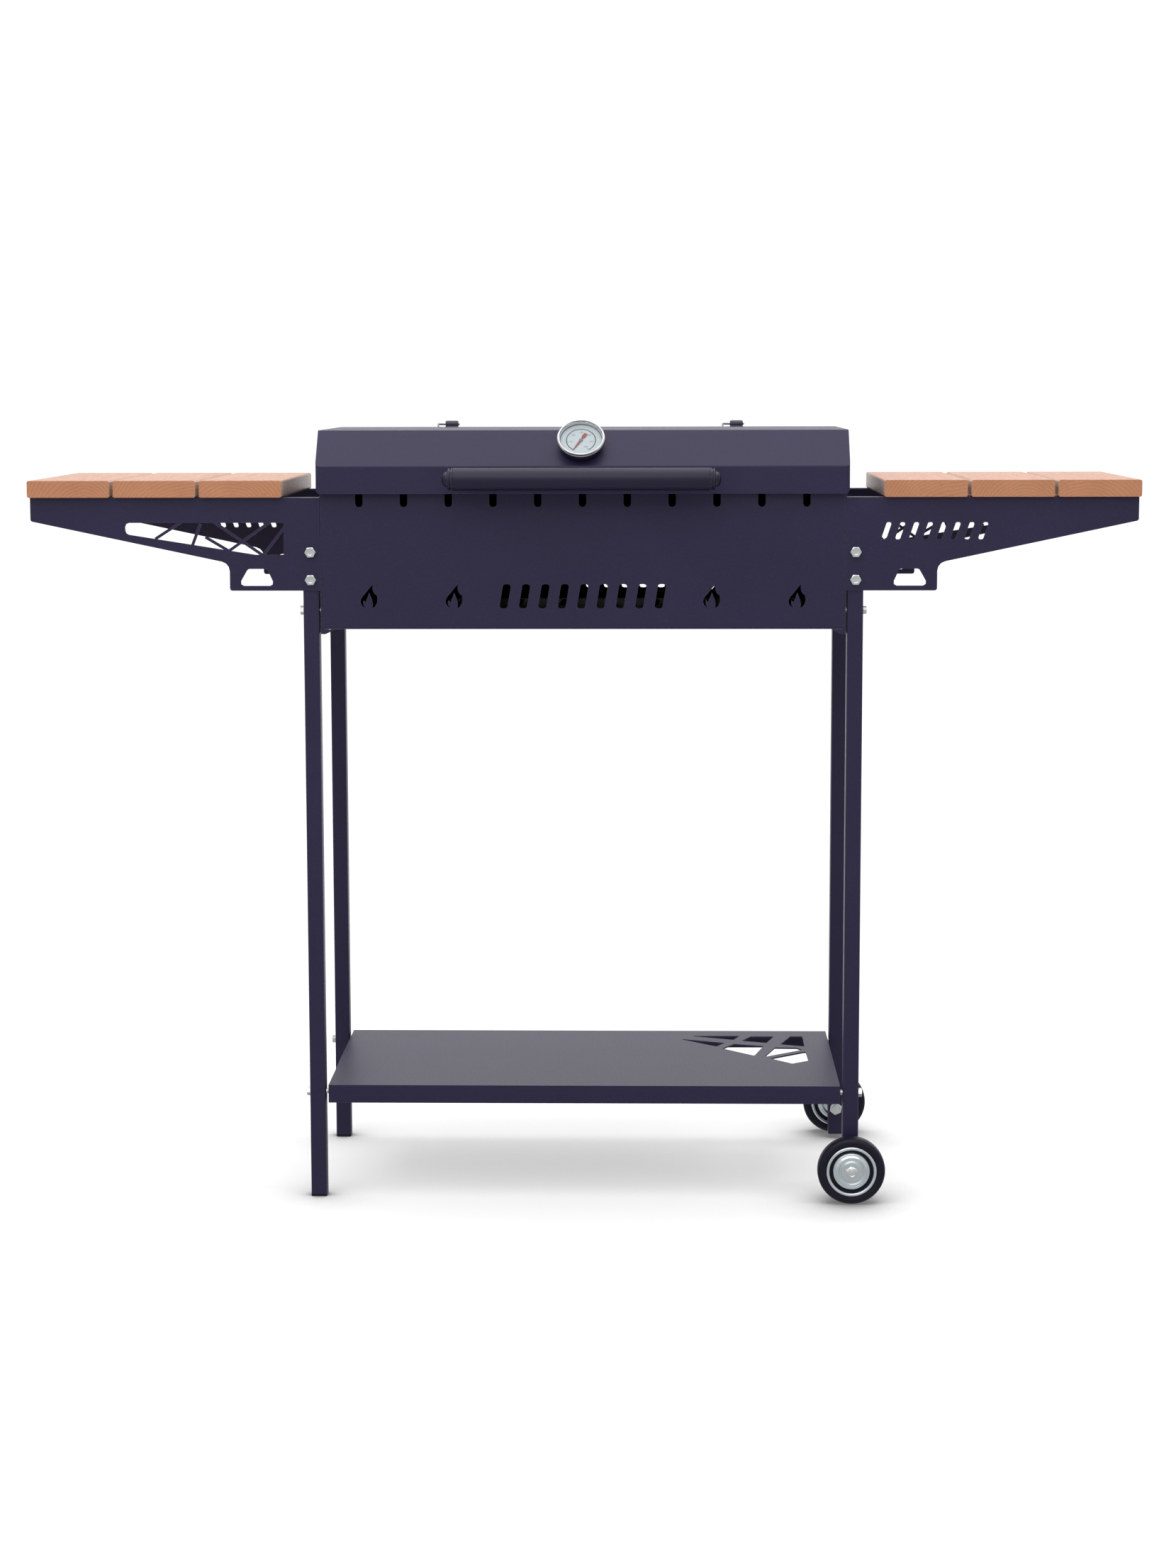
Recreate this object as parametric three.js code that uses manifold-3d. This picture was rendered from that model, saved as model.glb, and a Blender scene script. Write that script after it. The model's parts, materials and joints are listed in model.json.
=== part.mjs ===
// Charcoal skewer grill on a wheeled stand: a sheet-steel firebox with skewer notches and
// flame-shaped air vents, a hood lid with a thermometer and a bar handle, a slatted wooden
// side table on each side and a lower shelf. Millimetres, +Z up, the cook stands at -Y.
// Depths (Y) are laid out from the front faces of the front legs; the last lines move the
// whole grill so that its origin is the middle of its footprint, on the ground.
import * as THREE from "three";
import { mergeVertices } from "three/addons/utils/BufferGeometryUtils.js";
import Module from "manifold-3d";

const wasm = await Module();
wasm.setup();

// ---------- driving dimensions ----------
const GAP = 0.3; // between touching pieces
const SHEET = 2;
const BEND = 3; // outside radius of a fold

const BOX = { width: 650, front: -2, back: 334, floor: 723, rim: 896, lip: 717 };
const LEG = { size: 20, wall: 1.5, corner: 2, outer: 347, frontY: 0, backY: 312, top: 883 };
const WHEELED_LEG_END = 6; // the right-hand legs stop above the ground
const FOOT = { thick: 3, plug: 12 };
const SHELF = { halfWidth: 323.5, front: -1, back: 333, top: 145, flange: 23 };

const LID = {
  halfWidth: 328.5, front: -16, rearEdge: 300, bottom: 890.7, bend: 924.5, top: 968.2,
  chamferDepth: 40, hem: 10, corner: 5, nip: 4,
};
const HOOD = { front: 302, crest: 306, back: 346, bottom: 892 };
const HINGE = { x: [-180, 197], radius: 4, pin: 2.2, bore: 2.3, barrel: 17.5, exposed: 8, lug: 2.6 };

const NOTCH = { count: 11, pitch: 55.25, width: 9.3, frontBottom: 874, rearBottom: 880 };
const VENT = { low: 749, high: 779, width: 21, columns: [-265, -159.5, 159.5, 265] };
// Plain air slots between the flames; those in the rear wall start higher.
const SLOT = { count: 9, pitch: 24, width: 10, lean: 5, rearRise: 4 };

const BRACKET = {
  inner: 325.5, outer: 684, top: 886, outerLow: 857, elbowX: 437.5, elbowZ: 805,
  low: 771, flange: 22,
};
const PLANK = {
  inner: 371, width: 102, gap: 4.5, front: -11, back: 325, thick: 21, count: 3, round: 2.4,
};

const HANDLE = { radius: 14, half: 156, y: -60, z: 910, postX: 118, post: 5, foot: 9 };
const DIAL = { radius: 30, cup: 26, proud: 17, face: 25.5, stem: 3, stemLength: 48, nut: 8 };
const DIAL_AT = { x: -1.7, upSlope: 3.7 }; // from the middle of the lid's sloping panel
const POINTER = { tip: 20, tail: 12, rest: -30 }; // degrees from straight down, towards the left
const WHEEL = { radius: 42.5, width: 23, rim: 31.7, hub: 24, axle: 5, bore: 5.12, standoff: 10 };

const M8 = { radius: 4, head: 5.3, flats: 12, nut: 6 };
const M6 = { radius: 3, head: 4.4, flats: 10, nut: 5 };
const holeFor = (bolt) => bolt.radius + 0.4;
const BRACKET_BOLT_Z = [784.4, 818.6];
const BOX_BOLT_Z = 746;
const SHELF_BOLT_Z = 134.8;

// ---------- materials ----------
function material(colour, roughness, metalness, more = {}) {
  return new THREE.MeshStandardMaterial({ color: colour, roughness, metalness, ...more });
}
const COAT = material(0x2b2740, 0.55, 0.2); // blue-violet charcoal powder coat
const DARK_COAT = material(0x1f1c2c, 0.5, 0.2);
const ZINC = material(0xb9bec2, 0.3, 0.9);
const STEEL = material(0xcfd2d4, 0.2, 1);
const WOOD = material(0xb8754f, 0.7, 0);
const RUBBER = material(0x16151b, 0.8, 0);
const WHITE = material(0xf2f2ee, 0.6, 0);
const RED = material(0xc1272d, 0.5, 0);
const GLASS = material(0xffffff, 0.05, 0, { transparent: true, opacity: 0.3 });

// ---------- solids ----------
function solid(geometry) {
  const bare = geometry.clone();
  bare.deleteAttribute("normal");
  bare.deleteAttribute("uv");
  const merged = mergeVertices(bare, 1e-4);
  return new wasm.Manifold(new wasm.Mesh({
    numProp: 3,
    vertProperties: new Float32Array(merged.attributes.position.array),
    triVerts: new Uint32Array(merged.index.array),
  }));
}

function toGeometry(body) {
  const mesh = body.getMesh();
  const indexed = new THREE.BufferGeometry();
  indexed.setAttribute("position", new THREE.BufferAttribute(mesh.vertProperties, 3));
  indexed.setIndex(new THREE.BufferAttribute(mesh.triVerts, 1));
  const geometry = indexed.toNonIndexed();
  geometry.computeVertexNormals();
  return geometry;
}

function block([x0, x1], [y0, y1], [z0, z1]) {
  const box = new THREE.BoxGeometry(x1 - x0, y1 - y0, z1 - z0);
  return solid(box.translate((x0 + x1) / 2, (y0 + y1) / 2, (z0 + z1) / 2));
}

// Turns a geometry built along +Y or +Z so that it points along the named axis.
const ALONG_Y = { x: [0, 0, -Math.PI / 2], y: [0, 0, 0], z: [Math.PI / 2, 0, 0] };

function rod(radius, from, to, axis, [a, b], sides = 10) {
  const geometry = new THREE.CylinderGeometry(radius, radius, to - from, sides);
  geometry.applyMatrix4(new THREE.Matrix4().makeRotationFromEuler(new THREE.Euler(...ALONG_Y[axis])));
  const middle = (from + to) / 2;
  const centre = { x: [middle, a, b], y: [a, middle, b], z: [a, b, middle] }[axis];
  return solid(geometry.translate(...centre));
}

// A body of revolution about +Y from a closed (radius, height) profile.
function turned(profile, sides = 24) {
  const points = profile.map(([r, h]) => new THREE.Vector2(r, h));
  points.push(points[0].clone());
  return new THREE.LatheGeometry(points, sides);
}

function polygon(points) {
  return new THREE.Shape(points.map(([x, y]) => new THREE.Vector2(x, y)));
}

// A closed outline whose corners are rounded; each point may carry its own radius.
function rounded(points, radius, steps = 2) {
  const shape = [];
  points.forEach(([x, y, own = radius], i) => {
    const corner = new THREE.Vector2(x, y);
    const [px, py] = points[(i + points.length - 1) % points.length];
    const [nx, ny] = points[(i + 1) % points.length];
    const before = new THREE.Vector2(px, py).sub(corner).normalize();
    const after = new THREE.Vector2(nx, ny).sub(corner).normalize();
    const half = Math.acos(before.dot(after)) / 2;
    if (own === 0) {
      shape.push(corner);
      return;
    }
    const reach = own / Math.tan(half);
    const start = corner.clone().addScaledVector(before, reach);
    const end = corner.clone().addScaledVector(after, reach);
    const axis = before.clone().add(after).normalize();
    const centre = corner.clone().addScaledVector(axis, own / Math.sin(half));
    const a0 = start.clone().sub(centre).angle();
    let sweep = end.clone().sub(centre).angle() - a0;
    if (sweep > Math.PI) sweep -= 2 * Math.PI;
    if (sweep < -Math.PI) sweep += 2 * Math.PI;
    for (let k = 0; k <= steps; k += 1) {
      const a = a0 + (sweep * k) / steps;
      shape.push(new THREE.Vector2(centre.x + own * Math.cos(a), centre.y + own * Math.sin(a)));
    }
  });
  return new THREE.Shape(shape);
}

// Extrudes an (x, z) outline along Y, and a (y, z) outline along X.
function platedXZ(shape, y0, y1) {
  const geometry = new THREE.ExtrudeGeometry(shape, { depth: y1 - y0, bevelEnabled: false });
  return solid(geometry.rotateX(Math.PI / 2).translate(0, y1, 0));
}

function platedYZ(shape, x0, x1) {
  const geometry = new THREE.ExtrudeGeometry(shape, { depth: x1 - x0, bevelEnabled: false });
  const turn = new THREE.Matrix4().makeBasis(
    new THREE.Vector3(0, 1, 0), new THREE.Vector3(0, 0, 1), new THREE.Vector3(1, 0, 0));
  return solid(geometry.applyMatrix4(turn).translate(x0, 0, 0));
}

function platedXY(shape, z0, z1) {
  const geometry = new THREE.ExtrudeGeometry(shape, { depth: z1 - z0, bevelEnabled: false });
  return solid(geometry.translate(0, 0, z0));
}

// The outline of a folded sheet: the outer line of its section and the same line set in by
// the sheet's thickness. Points run so that the material lies to the right of the line.
function foldedSection(line, thick, bend) {
  const shift = ([x0, y0], [x1, y1]) => {
    const length = Math.hypot(x1 - x0, y1 - y0);
    return [((y1 - y0) / length) * thick, (-(x1 - x0) / length) * thick];
  };
  const inner = line.map((point, i) => {
    const a = i > 0 ? shift(line[i - 1], point) : shift(point, line[i + 1]);
    const b = i < line.length - 1 ? shift(point, line[i + 1]) : a;
    const scale = (thick * thick) / (thick * thick + a[0] * b[0] + a[1] * b[1]);
    return [point[0] + (a[0] + b[0]) * scale, point[1] + (a[1] + b[1]) * scale];
  });
  const ends = [0, line.length - 1];
  const outside = line.map(([x, y], i) => [x, y, ends.includes(i) ? 0 : bend]);
  const inside = inner.map(([x, y], i) => [x, y, ends.includes(i) ? 0 : bend - thick]);
  return rounded([...outside, ...inside.reverse()], 0);
}

const cut = (body, ...tools) => tools.reduce((left, tool) => left.subtract(tool), body);
const join = (...bodies) => bodies.reduce((all, body) => all.add(body));
const mirrorX = (body) => body.mirror([1, 0, 0]);

// ---------- assembly ----------
const grill = new THREE.Group();

function add(name, body, finish, parent = grill) {
  const mesh = new THREE.Mesh(body.isBufferGeometry ? body : toGeometry(body), finish);
  mesh.name = name;
  parent.add(mesh);
  return mesh;
}

const sides = [["left", -1], ["right", 1]];
const rows = [["front", LEG.frontY], ["rear", LEG.backY]];

const legHalf = LEG.size / 2;
const legX = LEG.outer - legHalf;
const square = (half, radius) => rounded(
  [[-half, -half], [half, -half], [half, half], [-half, half]], radius,
);

// Square tube about the Z axis with holes for every bolt and axle that goes through it; the
// bracket bolts go through its -Y wall only.
function makeLeg(bottom, tools) {
  const shape = square(legHalf, LEG.corner);
  const inner = square(legHalf - LEG.wall, LEG.corner - 1).getPoints();
  shape.holes.push(new THREE.Path(inner.reverse()));
  const outerWall = [-legHalf - 1, -legHalf + LEG.wall + 1];
  const across = [-legHalf - 1, legHalf + 1];
  return cut(
    platedXY(shape, bottom, LEG.top),
    ...BRACKET_BOLT_Z.map((z) => rod(holeFor(M8), ...outerWall, "y", [0, z])),
    ...[BOX_BOLT_Z, SHELF_BOLT_Z].map((z) => rod(holeFor(M6), ...across, "x", [0, z])),
    ...tools,
  );
}

function makeFootCap() {
  const sole = platedXY(square(legHalf, LEG.corner), 0, FOOT.thick);
  const plug = platedXY(square(legHalf - LEG.wall - GAP, 1), FOOT.thick - 1, FOOT.thick + FOOT.plug);
  return join(sole, plug);
}

const axleHole = rod(WHEEL.axle + 0.4, -legHalf - 1, legHalf + 1, "y", [0, WHEEL.radius]);
const standingLeg = makeLeg(FOOT.thick + GAP, []);
const wheeledLeg = makeLeg(WHEELED_LEG_END, [axleHole]);
for (const [row, legY] of rows) {
  for (const [name, side] of sides) {
    const leg = new THREE.Group();
    leg.position.set(side * legX, legY + legHalf, 0);
    if (row === "rear") leg.rotation.z = Math.PI;
    grill.add(leg);
    add(`leg_${row}_${name}`, side > 0 ? wheeledLeg : standingLeg, COAT, leg);
    if (side < 0) add(`foot_cap_${row}_${name}`, makeFootCap(), RUBBER, leg);
  }
}

// ---------- firebox ----------
// A flame whose tip leans to the right, open at the foot around a standing tongue, as a tool
// that cuts an air vent. Its outline is drawn in half widths and heights.
function flameTool(x, y0, y1) {
  const w = VENT.width / 2;
  const h = VENT.high - VENT.low;
  const flame = new THREE.Shape();
  flame.moveTo(-0.4 * w, 0.02 * h);
  flame.bezierCurveTo(-0.75 * w, 0.05 * h, -w, 0.16 * h, -w, 0.29 * h);
  flame.bezierCurveTo(-w, 0.42 * h, -0.72 * w, 0.5 * h, -0.4 * w, 0.63 * h);
  flame.bezierCurveTo(-0.1 * w, 0.75 * h, 0.1 * w, 0.88 * h, 0.53 * w, h);
  flame.bezierCurveTo(0.36 * w, 0.88 * h, 0.38 * w, 0.72 * h, 0.72 * w, 0.58 * h);
  flame.lineTo(0.9 * w, 0.555 * h);
  flame.bezierCurveTo(1.12 * w, 0.38 * h, w, 0.08 * h, 0.37 * w, 0);
  flame.bezierCurveTo(0.62 * w, 0.22 * h, 0.22 * w, 0.48 * h, 0.02 * w, 0.654 * h);
  flame.quadraticCurveTo(-0.2 * w, 0.42 * h, -0.435 * w, 0.247 * h);
  flame.lineTo(-0.66 * w, 0.34 * h);
  flame.quadraticCurveTo(-0.8 * w, 0.15 * h, -0.4 * w, 0.02 * h);
  return platedXZ(new THREE.Shape(flame.getPoints(5)), y0, y1).translate([x, 0, VENT.low]);
}

function slotTool(x, y0, y1, low, high, width, lean) {
  const h = width / 2;
  const outline = [[-h, 0], [h, 0], [h + lean, high - low], [-h + lean, high - low]];
  return platedXZ(rounded(outline, h * 0.6, 2), y0, y1).translate([x - lean / 2, 0, low]);
}

function notchTool(x, y0, y1, bottom) {
  const h = NOTCH.width / 2;
  const top = BOX.rim + 5;
  const outline = [[-h, bottom, h * 0.98], [h, bottom, h * 0.98], [h, top, 0], [-h, top, 0]];
  return platedXZ(rounded(outline, 0, 3), y0, y1).translate([x, 0, 0]);
}

const spread = (count, pitch) => Array.from({ length: count }, (_, i) => (i - (count - 1) / 2) * pitch);

// The flames and slots are cut through both walls, and face outwards alike in each.
function makeFirebox() {
  const line = [[BOX.front, BOX.rim], [BOX.front, BOX.floor], [BOX.back, BOX.floor], [BOX.back, BOX.rim]];
  const section = foldedSection([...line].reverse(), SHEET, BEND);
  const half = BOX.width / 2 - SHEET - GAP;
  const frontWall = [BOX.front - 1, BOX.front + SHEET + 1];
  const rearWall = [BOX.back - SHEET - 1, BOX.back + 1];
  const notches = spread(NOTCH.count, NOTCH.pitch).flatMap((x) => [
    notchTool(x, ...frontWall, NOTCH.frontBottom), notchTool(x, ...rearWall, NOTCH.rearBottom),
  ]);
  const ventsFrom = (slotLow) => [
    ...VENT.columns.map((x) => flameTool(x, ...frontWall)),
    ...spread(SLOT.count, SLOT.pitch)
      .map((x) => slotTool(x, ...frontWall, slotLow, VENT.high, SLOT.width, SLOT.lean)),
  ];
  const rearVents = ventsFrom(VENT.low + SLOT.rearRise)
    .map((tool) => tool.rotate([0, 0, 180]).translate([0, BOX.front + BOX.back, 0]));
  return cut(platedYZ(section, -half, half), ...notches, ...ventsFrom(VENT.low), ...rearVents);
}

// Small tabs of the end plate that show below the firebox at its corners.
function cornerTabs(side) {
  const { lip, floor, width, front, back } = BOX;
  const edge = width / 2 - 0.5;
  const outline = [[edge, lip], [edge - 5, lip], [edge - 17, floor - GAP], [edge, floor - GAP]];
  return [front, back - SHEET].map((y) => {
    const tab = platedXZ(polygon(outline), y, y + SHEET);
    return side > 0 ? tab : mirrorX(tab);
  });
}

// Each end plate rises at the back into an ear that carries the rear hood.
function makeEndPlate(side) {
  const slope = (LID.top - LID.bend) / LID.chamferDepth;
  const earFront = HOOD.front + 1;
  const under = SHEET + GAP;
  const outline = [
    [BOX.front, BOX.lip, 0], [BOX.back, BOX.lip, 0], [BOX.back, HOOD.bottom - 16, 2],
    [HOOD.back - under, HOOD.bottom + 2, 2],
    [HOOD.back - under, LID.bend - under * slope * 0.5, 2],
    [HOOD.crest - under * 0.3, LID.top - under, 2], [earFront, LID.top - under, 1],
    [earFront, BOX.rim + 14, 1], [earFront - 14, BOX.rim, 6], [BOX.front, BOX.rim, 2],
  ];
  const face = side * BOX.width / 2;
  const x = [face, face - side * SHEET].sort((a, b) => a - b);
  const plate = platedYZ(rounded(outline, 0), ...x);
  const holes = rows.map(([, legY]) => rod(holeFor(M6), x[0] - 1, x[1] + 1, "x",
    [legY + legHalf, BOX_BOLT_Z]));
  return join(cut(plate, ...holes), ...cornerTabs(side));
}

function makeRearHood() {
  const line = [
    [HOOD.front, LID.top], [HOOD.crest, LID.top], [HOOD.back, LID.bend], [HOOD.back, HOOD.bottom],
  ];
  return platedYZ(foldedSection(line, SHEET, BEND), -LID.halfWidth, LID.halfWidth);
}

// The charcoal lies on a slotted plate that stands on its own folded edges.
function makeCoalGrate() {
  const low = BOX.floor + SHEET + GAP;
  const top = low + 14;
  const [front, back] = [BOX.front + SHEET + 4, BOX.back - SHEET - 4];
  const section = foldedSection([[front, low], [front, top], [back, top], [back, low]], SHEET, BEND);
  const plate = platedYZ(section, -313, 313);
  const tools = [];
  for (const y of [90, 242]) {
    for (const x of spread(10, 60)) {
      const slot = rounded([[-5, -58], [5, -58], [5, 58], [-5, 58]], 4, 1);
      tools.push(platedXY(slot, top - SHEET - 1, top + 1).translate([x, y, 0]));
    }
  }
  return cut(plate, ...tools);
}

add("firebox_shell", makeFirebox(), COAT);
for (const [name, side] of sides) add(`end_plate_${name}`, makeEndPlate(side), COAT);
add("rear_hood", makeRearHood(), COAT);
add("coal_grate", makeCoalGrate(), DARK_COAT);

// ---------- lid ----------
const chamferTop = LID.front + LID.chamferDepth;
const chamferAngle = Math.atan2(LID.top - LID.bend, LID.chamferDepth);

// The thermometer's pieces are drawn about +Y, with y = 0 on the chamfer panel's outer face,
// +X to the right and +Z down the panel.
const thermometer = new THREE.Group();
thermometer.position.set(DIAL_AT.x, (LID.front + chamferTop) / 2, (LID.bend + LID.top) / 2);
thermometer.rotation.x = Math.PI / 2 + chamferAngle;
thermometer.translateZ(-DIAL_AT.upSlope);
thermometer.updateMatrix();
grill.add(thermometer);

// The outer form of the lid, or the same form set in by a sheet's thickness: its section run
// across the width, with the upright front corners rounded and the bottom corners nipped off.
function lidForm(inset, bottom, rear) {
  const slack = inset * Math.tan(chamferAngle / 2);
  const top = LID.top - inset;
  const section = rounded([
    [LID.front + inset, bottom], [rear, bottom], [rear, top],
    [chamferTop + slack, top, BEND], [LID.front + inset, LID.bend - inset * 0.4, BEND],
  ], 0);
  const half = LID.halfWidth - inset;
  const radius = LID.corner - inset;
  const plan = rounded([
    [-half, LID.front + inset, radius], [half, LID.front + inset, radius], [half, rear], [-half, rear],
  ], 0, 3);
  const nip = Math.max(LID.nip - inset, 0);
  const face = polygon([[-half + nip, bottom], [half - nip, bottom], [half, bottom + nip], [half, top],
    [-half, top], [-half, bottom + nip]].filter(([x, z]) => nip > 0 || z !== bottom || Math.abs(x) < half));
  const body = platedYZ(section, -half, half).intersect(platedXY(plan, bottom, top));
  return nip > 0 ? body.intersect(platedXZ(face, LID.front - 1, rear + 1)) : body;
}

// One welded shell: a panel folded over the front and top, with its ends closed.
function makeLidShell() {
  const outer = lidForm(0, LID.bottom, LID.rearEdge);
  const inner = lidForm(SHEET, LID.bottom - 1, LID.rearEdge + 1);
  const half = LID.halfWidth - LID.corner;
  const hem = block([-half, half], [LID.front + 1, LID.front + LID.hem], [LID.bottom, LID.bottom + SHEET]);
  const stemHole = rod(DIAL.stem + 1, -10, 10, "y", [0, 0], 12);
  return cut(join(cut(outer, inner), hem), stemHole.transform(thermometer.matrix.elements));
}

// A stepped collar and a domed end, along +Y.
function makeHandleCap() {
  const r = HANDLE.radius;
  const dome = [0, 1, 2].map((i) => {
    const a = (i / 3) * Math.PI / 2;
    return [(r - 4.5) * Math.cos(a), 7.5 + 6 * Math.sin(a)];
  });
  const profile = [
    [0, 0], [r, 0], [r, 1.4], [r - 1.8, 2], [r - 1.8, 3.2], [r - 0.4, 4], [r - 1.2, 6.4], ...dome, [0, 13.5],
  ];
  return turned(profile, 20);
}

// Runs along +Y from the bar's axis to the lid's front.
function makeHandlePost() {
  const reach = LID.front - GAP - HANDLE.y;
  const stem = rod(HANDLE.post, 0, reach, "y", [0, 0], 12);
  const foot = rod(HANDLE.foot, reach - 2.5, reach, "y", [0, 0], 16);
  const bar = rod(HANDLE.radius + GAP, -HANDLE.foot - 1, HANDLE.foot + 1, "x", [0, 0], 28);
  return join(stem, foot).subtract(bar);
}

// The thermometer is a cup with a rolled bezel and a probe stem; glass, dial and pointer
// are stacked inside it.
function makeDialCup() {
  const inner = DIAL.face + 0.4;
  const top = DIAL.proud;
  const profile = [
    [0, -DIAL.stemLength], [DIAL.stem, -DIAL.stemLength], [DIAL.stem, GAP], [DIAL.cup, GAP],
    [DIAL.cup + 1.2, 2], [DIAL.cup + 1.2, top - 6], [DIAL.radius, top - 5.4], [DIAL.radius, top - 1.2],
    [DIAL.radius - 1.2, top], [DIAL.radius - 2.6, top], [inner, top - 1.8], [inner, top - 8], [0, top - 8],
  ];
  return turned(profile);
}

function makeDialDisc() {
  const base = DIAL.proud - 8 + GAP;
  return turned([[0, base], [DIAL.face, base], [DIAL.face, base + 0.8], [0, base + 0.8]]);
}

// A thin tip that points down the dial and a fat tail, on a round hub.
function makePointer() {
  const base = DIAL.proud - 6.7 + GAP;
  const half = [[0.5, POINTER.tip], [1.2, -5], [2.4, -7], [1.8, -POINTER.tail]];
  const outline = [...half, ...half.map(([x, z]) => [-x, z]).reverse()].reverse();
  const blade = platedXZ(polygon(outline), base, base + 0.6).rotate([0, POINTER.rest, 0]);
  return join(blade, rod(3, base - 0.2, base + 0.9, "y", [0, 0], 12));
}

function makeDialGlass() {
  const top = DIAL.proud - 2.4;
  return turned([[0, top - 1.6], [DIAL.face, top - 1.6], [DIAL.face, top], [0, top]]);
}

// Hex nut on the stem, inside the lid.
function makeDialNut() {
  const y = [-SHEET - GAP - 4, -SHEET - GAP];
  return rod(DIAL.nut, ...y, "y", [0, 0], 6).subtract(rod(DIAL.stem + GAP, y[0] - 1, y[1] + 1, "y", [0, 0]));
}

// Turned weld-on hinge about the X axis: a pin held by a lug on the rear hood, a barrel on
// the lid. x = 0 is the middle of the barrel.
const hingeAxis = { y: LID.rearEdge + 1, z: LID.top + GAP + HINGE.radius };
const hingeSeat = -HINGE.radius; // the sheet's top, below the axis
const barrelHalf = HINGE.barrel / 2;

function makeHingeBarrel() {
  const barrel = rod(HINGE.radius, -barrelHalf, barrelHalf, "x", [0, 0], 24);
  const weld = block([-barrelHalf + 1, barrelHalf - 1], [-6, -1.5], [hingeSeat, 0]);
  const bore = rod(HINGE.bore, -barrelHalf - 1, barrelHalf + 1, "x", [0, 0], 24);
  return join(barrel, weld).subtract(bore);
}

function makeHingePin() {
  const start = -barrelHalf - HINGE.exposed;
  const pin = rod(HINGE.pin, start, barrelHalf + 1.5, "x", [0, 0], 24);
  const eye = rod(HINGE.radius * 0.8, start - HINGE.lug, start + GAP, "x", [0, 0], 12);
  const lug = block([start - HINGE.lug, start], [-1, HOOD.crest - hingeAxis.y], [hingeSeat, 0]);
  return join(pin, eye, lug);
}

add("lid_shell", makeLidShell(), COAT);
const handle = new THREE.Group();
handle.position.set(0, HANDLE.y, HANDLE.z);
grill.add(handle);
add("handle_tube", rod(HANDLE.radius, -HANDLE.half, HANDLE.half, "x", [0, 0], 28), DARK_COAT, handle);
sides.forEach(([name, side], i) => {
  const cap = add(`handle_cap_${name}`, makeHandleCap(), DARK_COAT, handle);
  cap.position.x = side * (HANDLE.half + GAP);
  cap.rotation.z = -side * Math.PI / 2;
  add(`handle_post_${name}`, makeHandlePost(), DARK_COAT, handle).position.x = side * HANDLE.postX;
  const hinge = new THREE.Group();
  hinge.position.set(HINGE.x[i], hingeAxis.y, hingeAxis.z);
  grill.add(hinge);
  add(`hinge_barrel_${name}`, makeHingeBarrel(), DARK_COAT, hinge);
  add(`hinge_pin_${name}`, makeHingePin(), ZINC, hinge);
});
add("thermometer_cup", makeDialCup(), STEEL, thermometer);
add("thermometer_dial", makeDialDisc(), WHITE, thermometer);
add("thermometer_pointer", makePointer(), RED, thermometer);
add("thermometer_glass", makeDialGlass(), GLASS, thermometer);
add("thermometer_nut", makeDialNut(), ZINC, thermometer);

// ---------- side tables ----------
// A straight bar between two (x, z) points, for the web of a cut-out.
function bar([x0, z0], [x1, z1], width, y0, y1) {
  const length = Math.hypot(x1 - x0, z1 - z0) + 6;
  const shape = polygon([[-length / 2, -width / 2], [length / 2, -width / 2], [length / 2, width / 2],
    [-length / 2, width / 2]]);
  const angle = THREE.MathUtils.radToDeg(Math.atan2(z1 - z0, x1 - x0));
  const plate = platedXZ(shape, y0, y1).rotate([0, -angle, 0]);
  return plate.translate([(x0 + x1) / 2, 0, (z0 + z1) / 2]);
}

const TRUSS = {
  outline: [[370, 815.5, 1], [405, 815.5, 1], [566, 841, 5], [567, 855, 5], [370, 855, 1]],
  web: [
    [[526.8, 836.8], [499.6, 854.3]], [[483, 828.1], [474.2, 850.8]], [[454, 854.3], [396.1, 814.9]],
    [[438.2, 820.2], [388.2, 855.1]], [[395.2, 815.8], [369.8, 848.2]], [[464.5, 835.9], [438.2, 820.2]],
  ],
};

function trussTools(y0, y1) {
  const opening = platedXZ(rounded(TRUSS.outline, 0), y0, y1);
  const web = TRUSS.web.map(([a, b]) => bar(a, b, 3.6, y0 - 1, y1 + 1));
  return [cut(opening, ...web)];
}

function ventTools(y0, y1) {
  return spread(8, 17).map((x) => slotTool(x + 434, y0, y1, 834, 855, 6.4, 7));
}

// Drawn for the right-hand side; y0 is the sheet's outer face and inward points under the table.
function makeBracket(y0, inward, tools) {
  const b = BRACKET;
  const outline = [
    [b.inner, b.low, 1], [b.elbowX, b.low, 3], [b.elbowX, b.elbowZ, 12], [b.outer, b.outerLow, 3],
    [b.outer, b.top, 1], [b.inner, b.top, 1],
  ];
  const y = [y0, y0 + inward * SHEET].sort((p, q) => p - q);
  const through = [y[0] - 1, y[1] + 1];
  const flangeY = [y0, y0 + inward * b.flange].sort((p, q) => p - q);
  const flange = block([b.inner, b.outer], flangeY, [b.top - SHEET, b.top]);
  const hook = platedXZ(rounded([[381.6, 777], [427, 777], [415, 798], [391, 798]], 4), ...through);
  const bolts = BRACKET_BOLT_Z.map((z) => rod(holeFor(M8), ...through, "y", [legX, z]));
  return cut(platedXZ(rounded(outline, 0, 3), ...y).add(flange), hook, ...bolts, ...tools(...through));
}

function makePlank() {
  const { width, thick, front, back, round } = PLANK;
  return platedXZ(rounded([[0, 0], [width, 0], [width, thick], [0, thick]], round, 3), front, back);
}

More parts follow.
